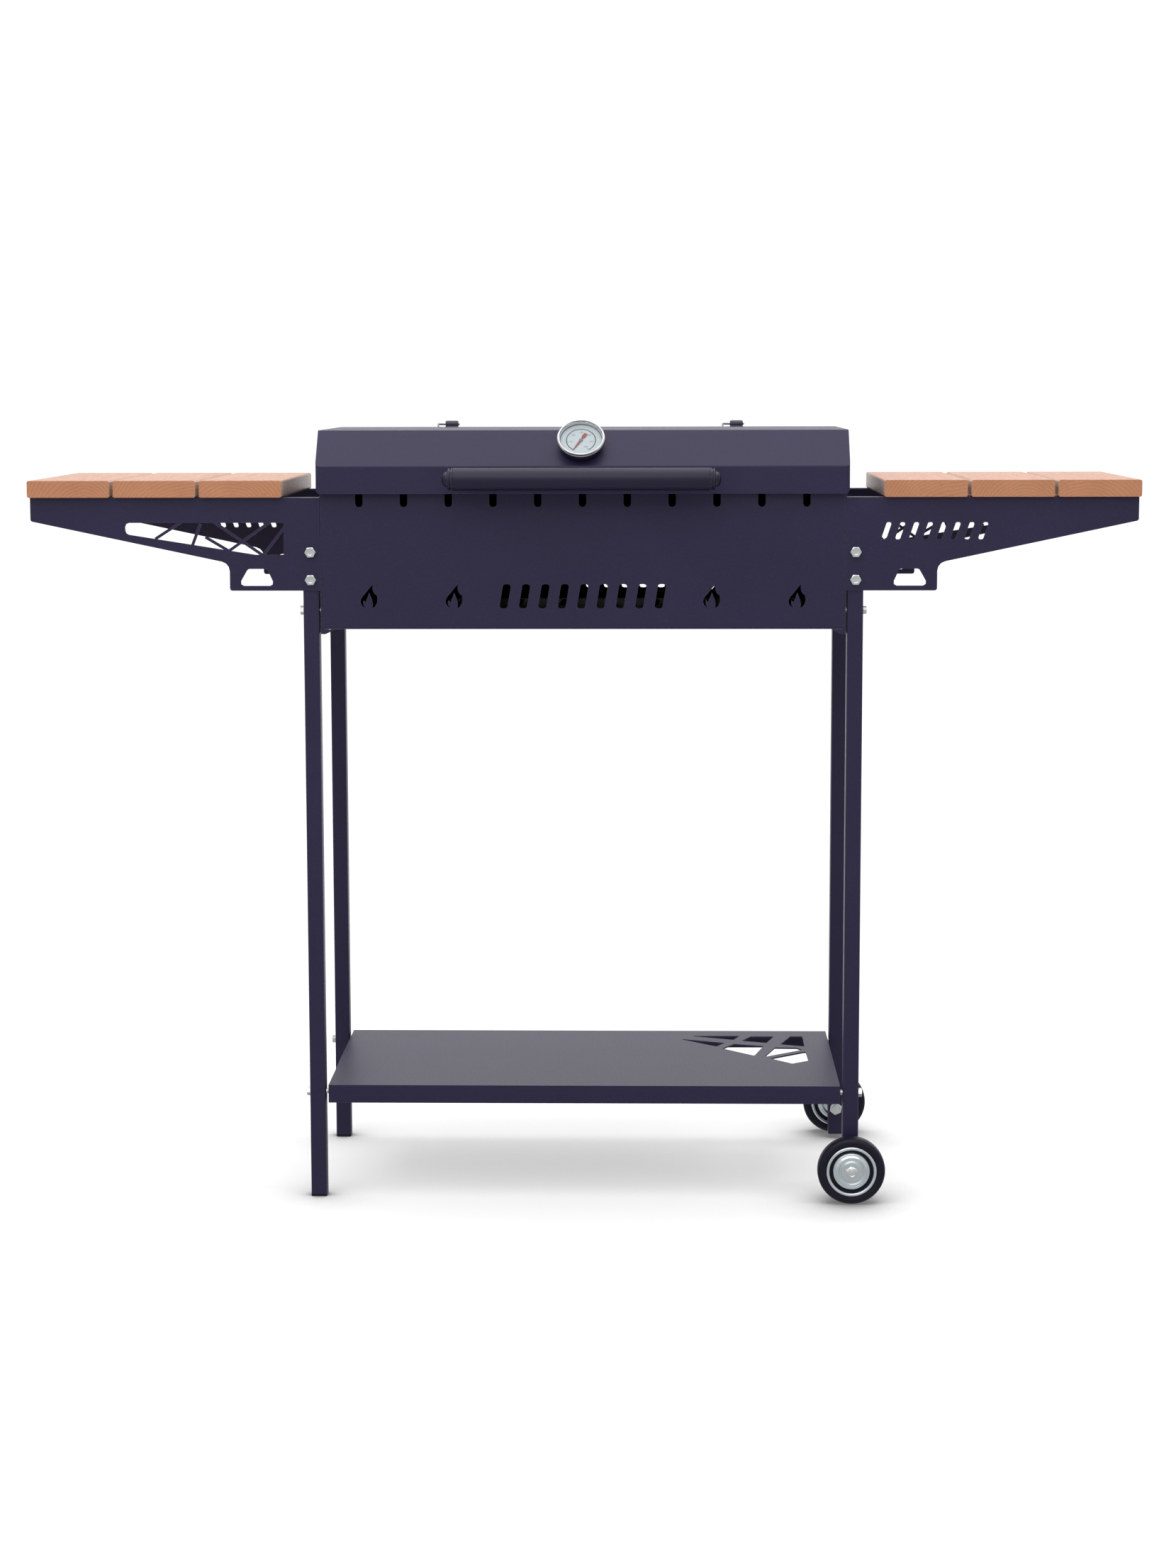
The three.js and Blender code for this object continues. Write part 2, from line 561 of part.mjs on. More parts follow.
// Both tables have the same pair of brackets: the left pair is the right one turned half round.
const frontY = LEG.frontY - SHEET;
const rearY = LEG.backY + LEG.size + SHEET;
for (const [name, side] of sides) {
  const brackets = new THREE.Group();
  const [near, far] = side > 0 ? ["front", "rear"] : ["rear", "front"];
  if (side < 0) {
    brackets.rotation.z = Math.PI;
    brackets.position.y = frontY + rearY;
  }
  grill.add(brackets);
  add(`bracket_${near}_${name}`, makeBracket(frontY, 1, ventTools), COAT, brackets);
  add(`bracket_${far}_${name}`, makeBracket(rearY, -1, trussTools), COAT, brackets);
  for (let i = 0; i < PLANK.count; i += 1) {
    const inner = PLANK.inner + i * (PLANK.width + PLANK.gap);
    const left = side > 0 ? inner : -inner - PLANK.width;
    add(`plank_${name}_${i + 1}`, makePlank(), WOOD).position.set(left, 0, BRACKET.top + GAP);
  }
}

// ---------- lower shelf ----------
// Facets cut in the rear right corner of the shelf, as (x, y) outlines.
const SHELF_FACETS = [
  [[137, 299], [205, 300], [196, 275]],
  [[122, 281], [184, 255], [172, 233]],
  [[220, 297], [251, 297], [240, 256], [207, 269]],
  [[196, 249], [235, 236], [221, 177], [180, 221]],
  [[274, 298], [290, 298], [290, 235], [258, 247]],
  [[250, 227], [279, 226], [286, 214], [234, 170]],
  [[290, 203], [291, 148], [269, 130], [241, 161]],
];

function makeShelf() {
  const s = SHELF;
  const low = s.top - s.flange;
  const pan = block([-s.halfWidth, s.halfWidth], [s.front, s.back], [low, s.top]);
  const hollow = block([-s.halfWidth + SHEET, s.halfWidth - SHEET], [s.front + SHEET, s.back - SHEET],
    [low - 1, s.top - SHEET]);
  const facets = SHELF_FACETS.map(
    (points) => platedXY(rounded(points, 1.2, 1), s.top - SHEET - 1, s.top + 1),
  );
  const bolts = rows.map(([, legY]) => rod(holeFor(M6), -s.halfWidth - 1, s.halfWidth + 1, "x",
    [legY + legHalf, SHELF_BOLT_Z]));
  return cut(pan, hollow, ...facets, ...bolts);
}

add("shelf", makeShelf(), COAT);

// ---------- fasteners ----------
// Hex bolt with its nut, drawn along +Y from the head's seat at y = 0, with two corners level;
// grip is the distance from the seat to the nut.
function makeBolt({ radius, head, flats, nut }, grip) {
  const hexagon = flats / Math.sqrt(3);
  const part = (r, y0, y1, n) => rod(r, y0, y1, "y", [0, 0], n);
  const nutStart = grip + GAP;
  return join(
    part(hexagon, -GAP - head, -GAP, 6),
    part(radius, -head, nutStart + nut + 1.5, 8),
    part(hexagon, nutStart, nutStart + nut, 6),
  ).rotate([0, 30, 0]);
}

const bracketBolt = makeBolt(M8, SHEET + LEG.wall);
const sideBolts = [
  ["box_bolt", BOX_BOLT_Z, makeBolt(M6, LEG.outer - BOX.width / 2 + SHEET)],
  ["shelf_bolt", SHELF_BOLT_Z, makeBolt(M6, LEG.outer - SHELF.halfWidth + SHEET)],
];
for (const [row, legY] of rows) {
  for (const [name, side] of sides) {
    ["low", "high"].forEach((level, i) => {
      const bolt = add(`bracket_bolt_${row}_${name}_${level}`, bracketBolt, ZINC);
      bolt.position.set(side * legX, row === "front" ? frontY : rearY, BRACKET_BOLT_Z[i]);
      if (row === "rear") bolt.rotation.z = Math.PI;
    });
    for (const [kind, z, body] of sideBolts) {
      const bolt = add(`${kind}_${row}_${name}`, body, ZINC);
      bolt.position.set(side * LEG.outer, legY + legHalf, z);
      bolt.rotation.z = side * Math.PI / 2;
    }
  }
}

// ---------- wheels ----------
// Drawn about +Y with the outer face towards -Y and the middle of the tread at y = 0.
const treadHalf = WHEEL.width / 2;

function makeTyre() {
  const r = WHEEL.radius;
  const seat = WHEEL.rim + GAP;
  const h = treadHalf;
  const shoulder = (sign) => [[r - 4.5, sign * h], [r - 1.6, sign * (h - 1.6)], [r, sign * (h - 5)]];
  return turned([[seat, -h], ...shoulder(-1), ...shoulder(1).reverse(), [seat, h]], 32);
}

function makeDisc() {
  const h = treadHalf;
  const { rim, hub, bore } = WHEEL;
  const face = (s) => [[27.6, s * (h - 1)], [26, s * (h - 6)], [hub, s * (h - 2.5)], [19, s * (h + 0.2)],
    [16, s * (h - 0.6)], [12.5, s * (h + 1.4)]];
  return turned([
    [bore, -(h + 1.4)], ...face(-1).reverse(), [rim, -(h - 0.2)], [rim, h - 0.2], ...face(1),
    [bore, h + 1.4],
  ], 24);
}

// Axle bolt: domed hex head, shank through the wheel, a collar that keeps the wheel off the
// leg, then the leg and the nut behind it.
function makeAxle() {
  const h = treadHalf + 1.4;
  const legFace = treadHalf + WHEEL.standoff;
  const part = (r, y0, y1, n) => rod(r, y0, y1, "y", [0, 0], n);
  return join(
    part(9, -h - GAP - 1.2, -h - GAP, 16), part(7.5, -h - GAP - 6, -h - GAP - 1, 6),
    part(WHEEL.axle, -h - 2, legFace + LEG.size + 8, 24),
    part(8.5, h + GAP, legFace - GAP, 12),
    part(7.5, legFace + LEG.size + GAP, legFace + LEG.size + 6, 6),
  );
}

for (const [row, legY] of rows) {
  const hub = new THREE.Group();
  const front = row === "front";
  const reach = WHEEL.standoff + treadHalf;
  const y = front ? legY - reach : legY + LEG.size + reach;
  hub.position.set(legX, y, WHEEL.radius);
  if (!front) hub.rotation.z = Math.PI;
  grill.add(hub);
  add(`tyre_${row}`, makeTyre(), RUBBER, hub);
  add(`wheel_disc_${row}`, makeDisc(), ZINC, hub);
  add(`axle_${row}`, makeAxle(), ZINC, hub);
}

// ---------- origin: middle of the footprint, on the ground ----------
grill.updateMatrixWorld(true);
const extent = new THREE.Box3().setFromObject(grill, true);
grill.position.y = -(extent.min.y + extent.max.y) / 2;

export default grill;
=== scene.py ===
import json
import math

import bmesh
import bpy
from mathutils import Matrix, Vector


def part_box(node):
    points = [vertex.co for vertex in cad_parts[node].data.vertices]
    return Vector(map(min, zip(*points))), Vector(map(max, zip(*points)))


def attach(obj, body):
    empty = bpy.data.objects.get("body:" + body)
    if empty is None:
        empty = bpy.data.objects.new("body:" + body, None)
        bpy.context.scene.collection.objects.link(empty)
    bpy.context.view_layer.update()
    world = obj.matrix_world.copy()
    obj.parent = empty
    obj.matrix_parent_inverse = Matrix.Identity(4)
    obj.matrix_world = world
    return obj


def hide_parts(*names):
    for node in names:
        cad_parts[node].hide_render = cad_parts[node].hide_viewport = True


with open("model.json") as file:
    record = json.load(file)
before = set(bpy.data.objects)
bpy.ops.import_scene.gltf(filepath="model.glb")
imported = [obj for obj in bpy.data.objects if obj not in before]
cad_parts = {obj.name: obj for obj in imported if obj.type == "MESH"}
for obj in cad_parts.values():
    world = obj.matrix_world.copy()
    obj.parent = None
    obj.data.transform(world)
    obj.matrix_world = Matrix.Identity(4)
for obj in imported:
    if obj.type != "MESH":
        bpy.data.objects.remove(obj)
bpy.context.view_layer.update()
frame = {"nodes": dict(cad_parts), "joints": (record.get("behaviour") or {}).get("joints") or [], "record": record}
NODES = frame["nodes"]
JOINTS = {joint["name"]: joint for joint in frame["joints"]}
SLOT_OF = {part["node"]: part["material_slot"] for part in frame["record"]["subparts"]}

MM = 0.001
DEG = math.pi / 180
RIGHT, LEFT = Vector((1, 0, 0)), Vector((-1, 0, 0))
BACK, FORWARD = Vector((0, 1, 0)), Vector((0, -1, 0))
DOWN = Vector((0, 0, -1))


def new_object(name, data):
    """An object in the scene."""
    made = bpy.data.objects.new(name, data)
    bpy.context.scene.collection.objects.link(made)
    return made


# ---------- camera ----------
CAMERA_DISTANCE, CAMERA_HEIGHT, CAMERA_RIGHT = 3.808, 1.0273, 0.0885
CAMERA_YAW, CAMERA_PITCH, CAMERA_ROLL = 1.24 * DEG, 7.447 * DEG, -0.11 * DEG


def make_camera():
    """The view from the cook's side: a longish lens a little above the lid, nearly four metres
    in front of the legs."""
    camera = new_object("camera", bpy.data.cameras.new("camera"))
    camera.data.sensor_fit = "VERTICAL"
    camera.data.sensor_height = 36
    camera.data.lens = 70.66
    camera.data.clip_end = 100
    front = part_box("leg_front_left")[0].y
    level = math.cos(CAMERA_PITCH)
    aim = Vector((-math.sin(CAMERA_YAW) * level, math.cos(CAMERA_YAW) * level, -math.sin(CAMERA_PITCH)))
    turn = aim.to_track_quat("-Z", "Y").to_matrix() @ Matrix.Rotation(CAMERA_ROLL, 3, "Z")
    position = (CAMERA_RIGHT, front - CAMERA_DISTANCE, CAMERA_HEIGHT)
    camera.matrix_world = Matrix.Translation(position) @ turn.to_4x4()
    bpy.context.scene.camera = camera


# ---------- shader helpers ----------
def new_material(name):
    material = bpy.data.materials.new(name)
    material.use_nodes = True
    tree = material.node_tree
    return material, tree, tree.nodes["Principled BSDF"]


def add_node(tree, kind, inputs=None, **settings):
    """A shader node; inputs are numbers or other nodes' sockets."""
    node = tree.nodes.new(kind)
    for key, value in settings.items():
        setattr(node, key, value)
    for key, value in (inputs or {}).items():
        if isinstance(value, bpy.types.NodeSocket):
            tree.links.new(value, node.inputs[key])
        else:
            node.inputs[key].default_value = value
    return node


def place_on(tree, scale=(1, 1, 1), shift=(0, 0, 0)):
    """Coordinates fixed to the piece, in metres, shifted and then scaled."""
    coords = add_node(tree, "ShaderNodeTexCoord").outputs["Object"]
    moved = add_node(tree, "ShaderNodeVectorMath", {0: coords, 1: shift}, operation="ADD").outputs[0]
    return add_node(tree, "ShaderNodeVectorMath", {0: moved, 1: scale}, operation="MULTIPLY").outputs[0]


def noise(tree, coords, scale, detail=2.0, roughness=0.5):
    inputs = {"Vector": coords, "Scale": scale, "Detail": detail, "Roughness": roughness}
    return add_node(tree, "ShaderNodeTexNoise", inputs).outputs["Fac"]


def math_node(tree, operation, *values):
    inputs = dict(enumerate(values))
    return add_node(tree, "ShaderNodeMath", inputs, operation=operation).outputs[0]


def span(tree, value, low, high, to_low=0.0, to_high=1.0):
    """Maps low..high to to_low..to_high, clamped."""
    inputs = {"Value": value, "From Min": low, "From Max": high, "To Min": to_low, "To Max": to_high}
    return add_node(tree, "ShaderNodeMapRange", inputs).outputs["Result"]


def blend_colours(tree, factor, first, second):
    """first where factor is 0, second where it is 1; either may be a colour or a socket."""
    mix = add_node(tree, "ShaderNodeMix", data_type="RGBA")
    for socket, value in ((mix.inputs[0], factor), (mix.inputs[6], first), (mix.inputs[7], second)):
        if isinstance(value, bpy.types.NodeSocket):
            tree.links.new(value, socket)
        elif isinstance(value, (int, float)):
            socket.default_value = value
        else:
            socket.default_value = (*value, 1)
    return mix.outputs[2]


def bump(tree, height, distance, strength=1.0):
    inputs = {"Height": height, "Distance": distance, "Strength": strength}
    return add_node(tree, "ShaderNodeBump", inputs).outputs["Normal"]


def edge_mask(tree, radius):
    """1 on outer and inner edges, 0 on the flats between them."""
    soft = add_node(tree, "ShaderNodeBevel", {"Radius": radius}, samples=4).outputs[0]
    true = add_node(tree, "ShaderNodeNewGeometry").outputs["Normal"]
    dot = add_node(tree, "ShaderNodeVectorMath", {0: soft, 1: true}, operation="DOT_PRODUCT")
    return span(tree, dot.outputs["Value"], 0.995, 0.93)


def connect(tree, shader, **sockets):
    for name, socket in sockets.items():
        tree.links.new(socket, shader.inputs[name.replace("_", " ")])


def scaled(colour, factor):
    return tuple(min(channel * factor, 1) for channel in colour)


# ---------- materials ----------
def inner_shade_mask(tree, fire):
    """Painted shade inside the firebox: 1 on faces that look towards the fire's middle, 0 on faces that look away
    from it.
    """
    coords = add_node(tree, "ShaderNodeTexCoord")
    inputs = {0: fire, 1: coords.outputs["Object"]}
    towards = add_node(tree, "ShaderNodeVectorMath", inputs, operation="SUBTRACT")
    inputs = {0: towards.outputs[0], 1: coords.outputs["Normal"]}
    facing_it = add_node(tree, "ShaderNodeVectorMath", inputs, operation="DOT_PRODUCT")
    return span(tree, facing_it.outputs["Value"], 1 * MM, 6 * MM)


def coated_steel(name, colour, roughness, grain, worn_and_highlit_edge, fire=None):
    """Powder coat: a fine orange-peel grain, slow changes of tone, pale edges that are partly wear and
    partly painted highlight. With a fire's position, the faces towards it are painted black as shade inside the
    firebox."""
    material, tree, shader = new_material(name)
    coords = place_on(tree)
    fine = noise(tree, coords, grain, 3.0, 0.6)
    slow = noise(tree, coords, 9.0, 3.0)
    speck = span(tree, noise(tree, coords, grain * 1.7, 1.0), 0.62, 0.7)
    tone = blend_colours(tree, slow, scaled(colour, 0.82), scaled(colour, 1.18))
    speckled = blend_colours(tree, math_node(tree, "MULTIPLY", speck, 0.35), tone, scaled(colour, 2.6))
    # Pale edges: painted highlight where bends would catch the light, mixed with some wear.
    wear_and_highlight_edges = math_node(tree, "MULTIPLY", edge_mask(tree, 0.9 * MM), span(tree, fine, 0.35, 0.6))
    edge = math_node(tree, "MULTIPLY", wear_and_highlight_edges, 0.5)
    surface = blend_colours(tree, edge, speckled, worn_and_highlit_edge)
    rough = span(tree, fine, 0.25, 0.75, roughness - 0.07, roughness + 0.09)
    shader.inputs["Specular IOR Level"].default_value = COAT_GLOSS
    if fire:
        # Painted shade: faces towards the box's middle go near-black, so the vents and slots look dark.
        inner_shade = inner_shade_mask(tree, fire)
        black = blend_colours(tree, slow, (0.005, 0.0045, 0.0045), (0.016, 0.0145, 0.0145))
        surface = blend_colours(tree, inner_shade, surface, black)
        rough = math_node(tree, "MAXIMUM", rough, math_node(tree, "MULTIPLY", inner_shade, 0.9))
        connect(tree, shader, Specular_IOR_Level=span(tree, inner_shade, 0, 1, COAT_GLOSS, 0.1))
    connect(tree, shader, Base_Color=surface, Roughness=rough, Normal=bump(tree, fine, 0.09 * MM, 0.55))
    return material


def plated_steel(name, colour, roughness, rings=False):
    """Bright zinc or steel with cloudy passivation and, on turned pieces, tool rings."""
    material, tree, shader = new_material(name)
    coords = place_on(tree)
    cloud = noise(tree, coords, 70.0, 4.0, 0.65)
    fine = noise(tree, coords, 1500.0, 2.0)
    height = fine
    if rings:
        inputs = {"Vector": coords, "Scale": 260.0, "Distortion": 0.3, "Detail": 1.0}
        wave = add_node(tree, "ShaderNodeTexWave", inputs, wave_type="RINGS", rings_direction="Z")
        height = math_node(tree, "ADD", math_node(tree, "MULTIPLY", fine, 0.4), wave.outputs["Fac"])
    connect(
        tree, shader,
        Base_Color=blend_colours(tree, cloud, scaled(colour, 0.84), scaled(colour, 1.08)),
        Roughness=span(tree, cloud, 0.3, 0.7, roughness, roughness + 0.14),
        Normal=bump(tree, height, 0.02 * MM, 0.5),
    )
    shader.inputs["Metallic"].default_value = 1.0
    return material


def oiled_wood(name, pith):
    """Growth rings about a pith line along Y, drawn-out fibres and open pores; sawn sides
    across the rings are paler and greyer. pith is the (x, z) of the line."""
    light, dark = (0.515, 0.235, 0.12), (0.35, 0.13, 0.06)
    material, tree, shader = new_material(name)
    about_pith = place_on(tree, shift=(-pith[0], 0, -pith[1]))
    stretched = place_on(tree, scale=(1, 0.06, 1))
    wander = span(tree, noise(tree, stretched, 18.0, 3.0), 0.0, 1.0, -9 * MM, 9 * MM)
    inputs = {0: about_pith, 1: (1, 0, 1)}
    flat = add_node(tree, "ShaderNodeVectorMath", inputs, operation="MULTIPLY").outputs[0]
    radius = add_node(tree, "ShaderNodeVectorMath", {0: flat}, operation="LENGTH").outputs["Value"]
    years = math_node(tree, "DIVIDE", math_node(tree, "ADD", radius, wander), 4.2 * MM)
    ring = math_node(tree, "FRACT", years)
    late = math_node(tree, "MULTIPLY", span(tree, ring, 0.35, 0.9), span(tree, ring, 1.0, 0.93))
    fibre = noise(tree, stretched, 620.0, 3.0, 0.65)
    pores = span(tree, noise(tree, stretched, 1100.0, 1.0), 0.66, 0.74)
    slow = noise(tree, stretched, 26.0, 2.0)
    late_share = math_node(tree, "MULTIPLY", late, 0.34)
    amount = math_node(tree, "ADD", late_share, span(tree, fibre, 0.3, 0.7, 0.0, 0.3))
    amount = math_node(tree, "ADD", amount, span(tree, slow, 0.3, 0.7, 0.0, 0.22))
    grain = blend_colours(tree, amount, light, dark)
    pored = blend_colours(tree, math_node(tree, "MULTIPLY", pores, 0.55), grain, scaled(dark, 0.45))
    normal = add_node(tree, "ShaderNodeTexCoord").outputs["Normal"]
    across = math_node(tree, "ABSOLUTE", add_node(tree, "ShaderNodeSeparateXYZ", {0: normal}).outputs[0])
    streaks = span(tree, fibre, 0.4, 0.62)
    sawn = blend_colours(tree, streaks, (0.42, 0.34, 0.29), (0.85, 0.74, 0.66))
    side = math_node(tree, "MULTIPLY", span(tree, across, 0.8, 0.95), 0.55)
    relief = math_node(tree, "SUBTRACT", fibre, math_node(tree, "MULTIPLY", pores, 0.6))
    connect(
        tree, shader,
        Base_Color=blend_colours(tree, side, pored, sawn),
        Roughness=span(tree, fibre, 0.3, 0.7, 0.3, 0.46),
        Normal=bump(tree, relief, 0.25 * MM, 0.5),
    )
    return material


def rubber(name, colour, dusty):
    """Matt black with a fine moulded grain and some dust."""
    material, tree, shader = new_material(name)
    coords = place_on(tree)
    fine = noise(tree, coords, 1300.0, 2.0)
    dust = span(tree, noise(tree, coords, 60.0, 4.0, 0.7), 0.5, 0.8, 0.0, dusty)
    connect(
        tree, shader,
        Base_Color=blend_colours(tree, dust, colour, scaled(colour, 2.4)),
        Roughness=span(tree, dust, 0.0, 0.5, 0.5, 0.68),
        Normal=bump(tree, fine, 0.06 * MM, 0.5),
    )
    shader.inputs["Specular IOR Level"].default_value = 0.25
    return material


def printed(name, colour, roughness):
    """Paint or enamel on the dial: almost even, slightly mottled."""
    material, tree, shader = new_material(name)
    mottle = noise(tree, place_on(tree), 300.0, 2.0)
    connect(
        tree, shader,
        Base_Color=blend_colours(tree, mottle, scaled(colour, 0.93), scaled(colour, 1.05)),
        Roughness=span(tree, mottle, 0.2, 0.8, roughness - 0.04, roughness + 0.06),
    )
    return material


def clear_glass(name):
    material, tree, shader = new_material(name)
    smear = noise(tree, place_on(tree), 120.0, 2.0)
    connect(tree, shader, Roughness=span(tree, smear, 0.3, 0.8, 0.02, 0.07))
    shader.inputs["Base Color"].default_value = (0.3, 0.32, 0.33, 1)
    shader.inputs["Alpha"].default_value = 0.07
    return material


COAT_GLOSS = 0.3
COAT_COLOUR = (0.0172, 0.0132, 0.0455)
# Pale edge colours, here and in the coats below: painted edge highlight, with some wear.
EDGE_WEAR_AND_HIGHLIGHT_COLOUR = (0.12, 0.115, 0.15)
FIRE = tuple((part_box("firebox_shell")[0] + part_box("firebox_shell")[1]) / 2)
COAT = coated_steel("powder_coat", COAT_COLOUR, 0.43, 620.0, EDGE_WEAR_AND_HIGHLIGHT_COLOUR)
INNER_SHADED = coated_steel("powder_coat_inner_shade", COAT_COLOUR, 0.43, 620.0, EDGE_WEAR_AND_HIGHLIGHT_COLOUR, FIRE)
ENAMEL = coated_steel("black_enamel", (0.011, 0.0085, 0.028), 0.36, 900.0, (0.09, 0.09, 0.11))
CAP_ENAMEL = coated_steel("cap_enamel", (0.011, 0.0085, 0.026), 0.15, 1400.0, (0.3, 0.3, 0.34))
PHOSPHATED = coated_steel("phosphated_steel", (0.062, 0.06, 0.085), 0.4, 900.0, (0.2, 0.2, 0.22))
BURNT = coated_steel("burnt_steel", (0.006, 0.005, 0.005), 0.8, 300.0, (0.02, 0.014, 0.011))
ZINC = plated_steel("zinc", (0.74, 0.77, 0.78), 0.24)
TURNED_ZINC = plated_steel("turned_zinc", (0.74, 0.81, 0.85), 0.17, rings=True)
CHROME = plated_steel("polished_steel", (0.8, 0.8, 0.8), 0.07)
RUBBER = rubber("tyre_rubber", (0.0045, 0.0028, 0.0125), 0.35)
PLASTIC = rubber("black_plastic", (0.005, 0.0038, 0.0105), 0.3)
DIAL_WHITE = printed("dial_white", (0.47, 0.54, 0.57), 0.32)
DIAL_INK = printed("dial_ink", (0.05, 0.06, 0.065), 0.5)
DIAL_HUB = printed("dial_hub", (0.16, 0.17, 0.17), 0.4)
POINTER_RED = printed("pointer_red", (0.27, 0.014, 0.014), 0.35)
GLASS = clear_glass("clear_glass")
MATERIALS = {
    "powder_coat": COAT, "black_enamel": ENAMEL, "zinc": ZINC, "stainless": CHROME,
    "tyre": RUBBER, "black_plastic": PLASTIC, "dial_white": DIAL_WHITE,
    "pointer_red": POINTER_RED, "glass": GLASS,
}


# ---------- mesh helpers ----------
def softened(profile, radius, steps=3):
    """An open (radius, height) profile with each inner corner rounded off."""
    points = [Vector(profile[0])]
    for before, corner, after in zip(profile, profile[1:], profile[2:]):
        corner = Vector(corner)
        arm_in, arm_out = Vector(before) - corner, Vector(after) - corner
        reach = min(radius, arm_in.length * 0.45, arm_out.length * 0.45)
        start, end = corner + arm_in.normalized() * reach, corner + arm_out.normalized() * reach
        for i in range(steps + 1):
            t = i / steps
            points.append(start * (1 - t) ** 2 + corner * 2 * t * (1 - t) + end * t ** 2)
    points.append(Vector(profile[-1]))
    return [tuple(point) for point in points]


def spun(name, rings, segments=96, closed=False, crease=38):
    """A solid about +Z. Each ring is (radius, height), and either may be a function of the
    angle. A ring of radius 0 is a pole; closed joins the last ring to the first."""
    vertices, rows = [], []
    for radius, height in rings:
        count = 1 if radius == 0 else segments
        rows.append([len(vertices) + i for i in range(count)])
        for i in range(count):
            a = 2 * math.pi * i / segments
            r = radius(a) if callable(radius) else radius
            h = height(a) if callable(height) else height
            vertices.append((r * math.cos(a), r * math.sin(a), h))
    faces = []
    pairs = list(zip(rows, rows[1:])) + ([(rows[-1], rows[0])] if closed else [])
    for low, high in pairs:
        for i in range(segments):
            j = (i + 1) % segments
            corners = [low[i % len(low)], low[j % len(low)], high[j % len(high)], high[i % len(high)]]
            faces.append(list(dict.fromkeys(corners)))
    mesh = bpy.data.meshes.new(name)
    mesh.from_pydata(vertices, [], faces)
    outward(mesh, crease)
    return mesh


def outward(mesh, angle=38):
    """Faces out, smooth except where two faces meet at more than the angle."""
    work = bmesh.new()
    work.from_mesh(mesh)
    bmesh.ops.recalc_face_normals(work, faces=work.faces)
    work.to_mesh(mesh)
    work.free()
    mesh.shade_smooth()
    mesh.set_sharp_from_angle(angle=angle * DEG)


def prism(name, sections):
    """A solid between two outlines that have the same number of points."""
    count = len(sections[0])
    faces = [list(range(count)), list(range(count, 2 * count))]
    faces += [[i, (i + 1) % count, (i + 1) % count + count, i + count] for i in range(count)]
    mesh = bpy.data.meshes.new(name)
    mesh.from_pydata([point for section in sections for point in section], [], faces)
    outward(mesh)
    return mesh


def facing(position, direction, spin=0.0):
    """A placing whose +Z points along direction, turned about it by spin."""
    turn = Vector(direction).to_track_quat("Z", "Y").to_matrix().to_4x4()
    return Matrix.Translation(position) @ turn @ Matrix.Rotation(spin, 4, "Z")


def piece(name, mesh, material, body, place=None, stands_for=()):
    """One visible piece that rides on a body, in place of the named CAD nodes."""
    made = new_object(name, mesh)
    mesh.materials.append(material)
    made.matrix_world = place or Matrix.Identity(4)
    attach(made, body)
    if stands_for:
        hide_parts(*stands_for)
    return made


def middle(node):
    low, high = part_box(node)
    return (low + high) / 2


# ---------- hex hardware ----------
def hexagon(flats):
    """The distance from the axis to a hexagon's edge, by angle."""
    return lambda a: flats / 2 / math.cos(((a + math.pi / 6) % (math.pi / 3)) - math.pi / 6)


def chamfered_hex(flats, low, high, both_ends=True):
    """Rings of a hexagonal prism whose corners are turned off at 30 degrees."""
    edge = hexagon(flats)
    face = flats * 0.465

    def drop(a):
        return max(edge(a) - face, 0) * math.tan(math.pi / 6)

    top = [(edge, lambda a: high - drop(a)), (face, high)]
    if not both_ends:
        return [(edge, low), *top]
    return [(face, low), (edge, lambda a: low + drop(a)), *top]


def thread(radius, low, high, pitch):
    """Rings of a thread's crests and roots."""
    count = max(int((high - low) / pitch), 1)
    rings = []
    for i in range(count):
        z = low + i * pitch
        rings += [(radius, z), (radius, z + pitch * 0.15), (radius * 0.87, z + pitch * 0.55)]
    return rings


def hex_bolt(node, outward_axis, spin):
    """A hex bolt and its nut in place of one CAD node that holds both. The head is at the
    end that outward_axis points to."""
    low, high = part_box(node)
    size = high - low
    length = abs(size.dot(outward_axis))
    flats = min(value for value, along in zip(size, outward_axis) if abs(along) < 0.5)
    shank = flats / 3 if flats > 11 * MM else flats * 0.3
    head, nut, tail = flats * 0.441, flats * 0.5, 1.5 * MM
    tip = middle(node) + outward_axis * length / 2
    place = facing(tip, outward_axis, spin)
    rings = [(0, -length)]
    rings += [(shank * 0.8, -length), *thread(shank, -length + 0.3 * MM, -length + tail + nut, 1.1 * MM)]
    rings += [(shank, -length + tail + nut), (shank, -head), *chamfered_hex(flats, -head, 0, False)]
    # A shallow round recess in the head, as forging leaves it.
    rings += [(flats * 0.3, 0), (flats * 0.26, -0.35 * MM), (0, -0.35 * MM)]
    mesh = spun(f"{node}_screw", rings, 72, crease=20)
    piece(f"{node}_screw", mesh, ZINC, "stand", place, [node])
    start = -length + tail
    rings = chamfered_hex(flats, start, start + nut) + [(shank * 1.06, start + nut), (shank * 1.06, start)]
    mesh = spun(f"{node}_nut", rings, 72, closed=True, crease=20)
    piece(f"{node}_nut", mesh, ZINC, "stand", place, [node])


def make_bolts():
    turn = 0
    for node in sorted(NODES):
        if "_bolt_" not in node:
            continue
        turn += 1
        if node.startswith("bracket"):
            hex_bolt(node, FORWARD if "_front_" in node else BACK, (26 + turn * 7 % 9) * DEG)
        else:
            hex_bolt(node, LEFT if node.endswith("left") else RIGHT, turn * 11 * DEG)


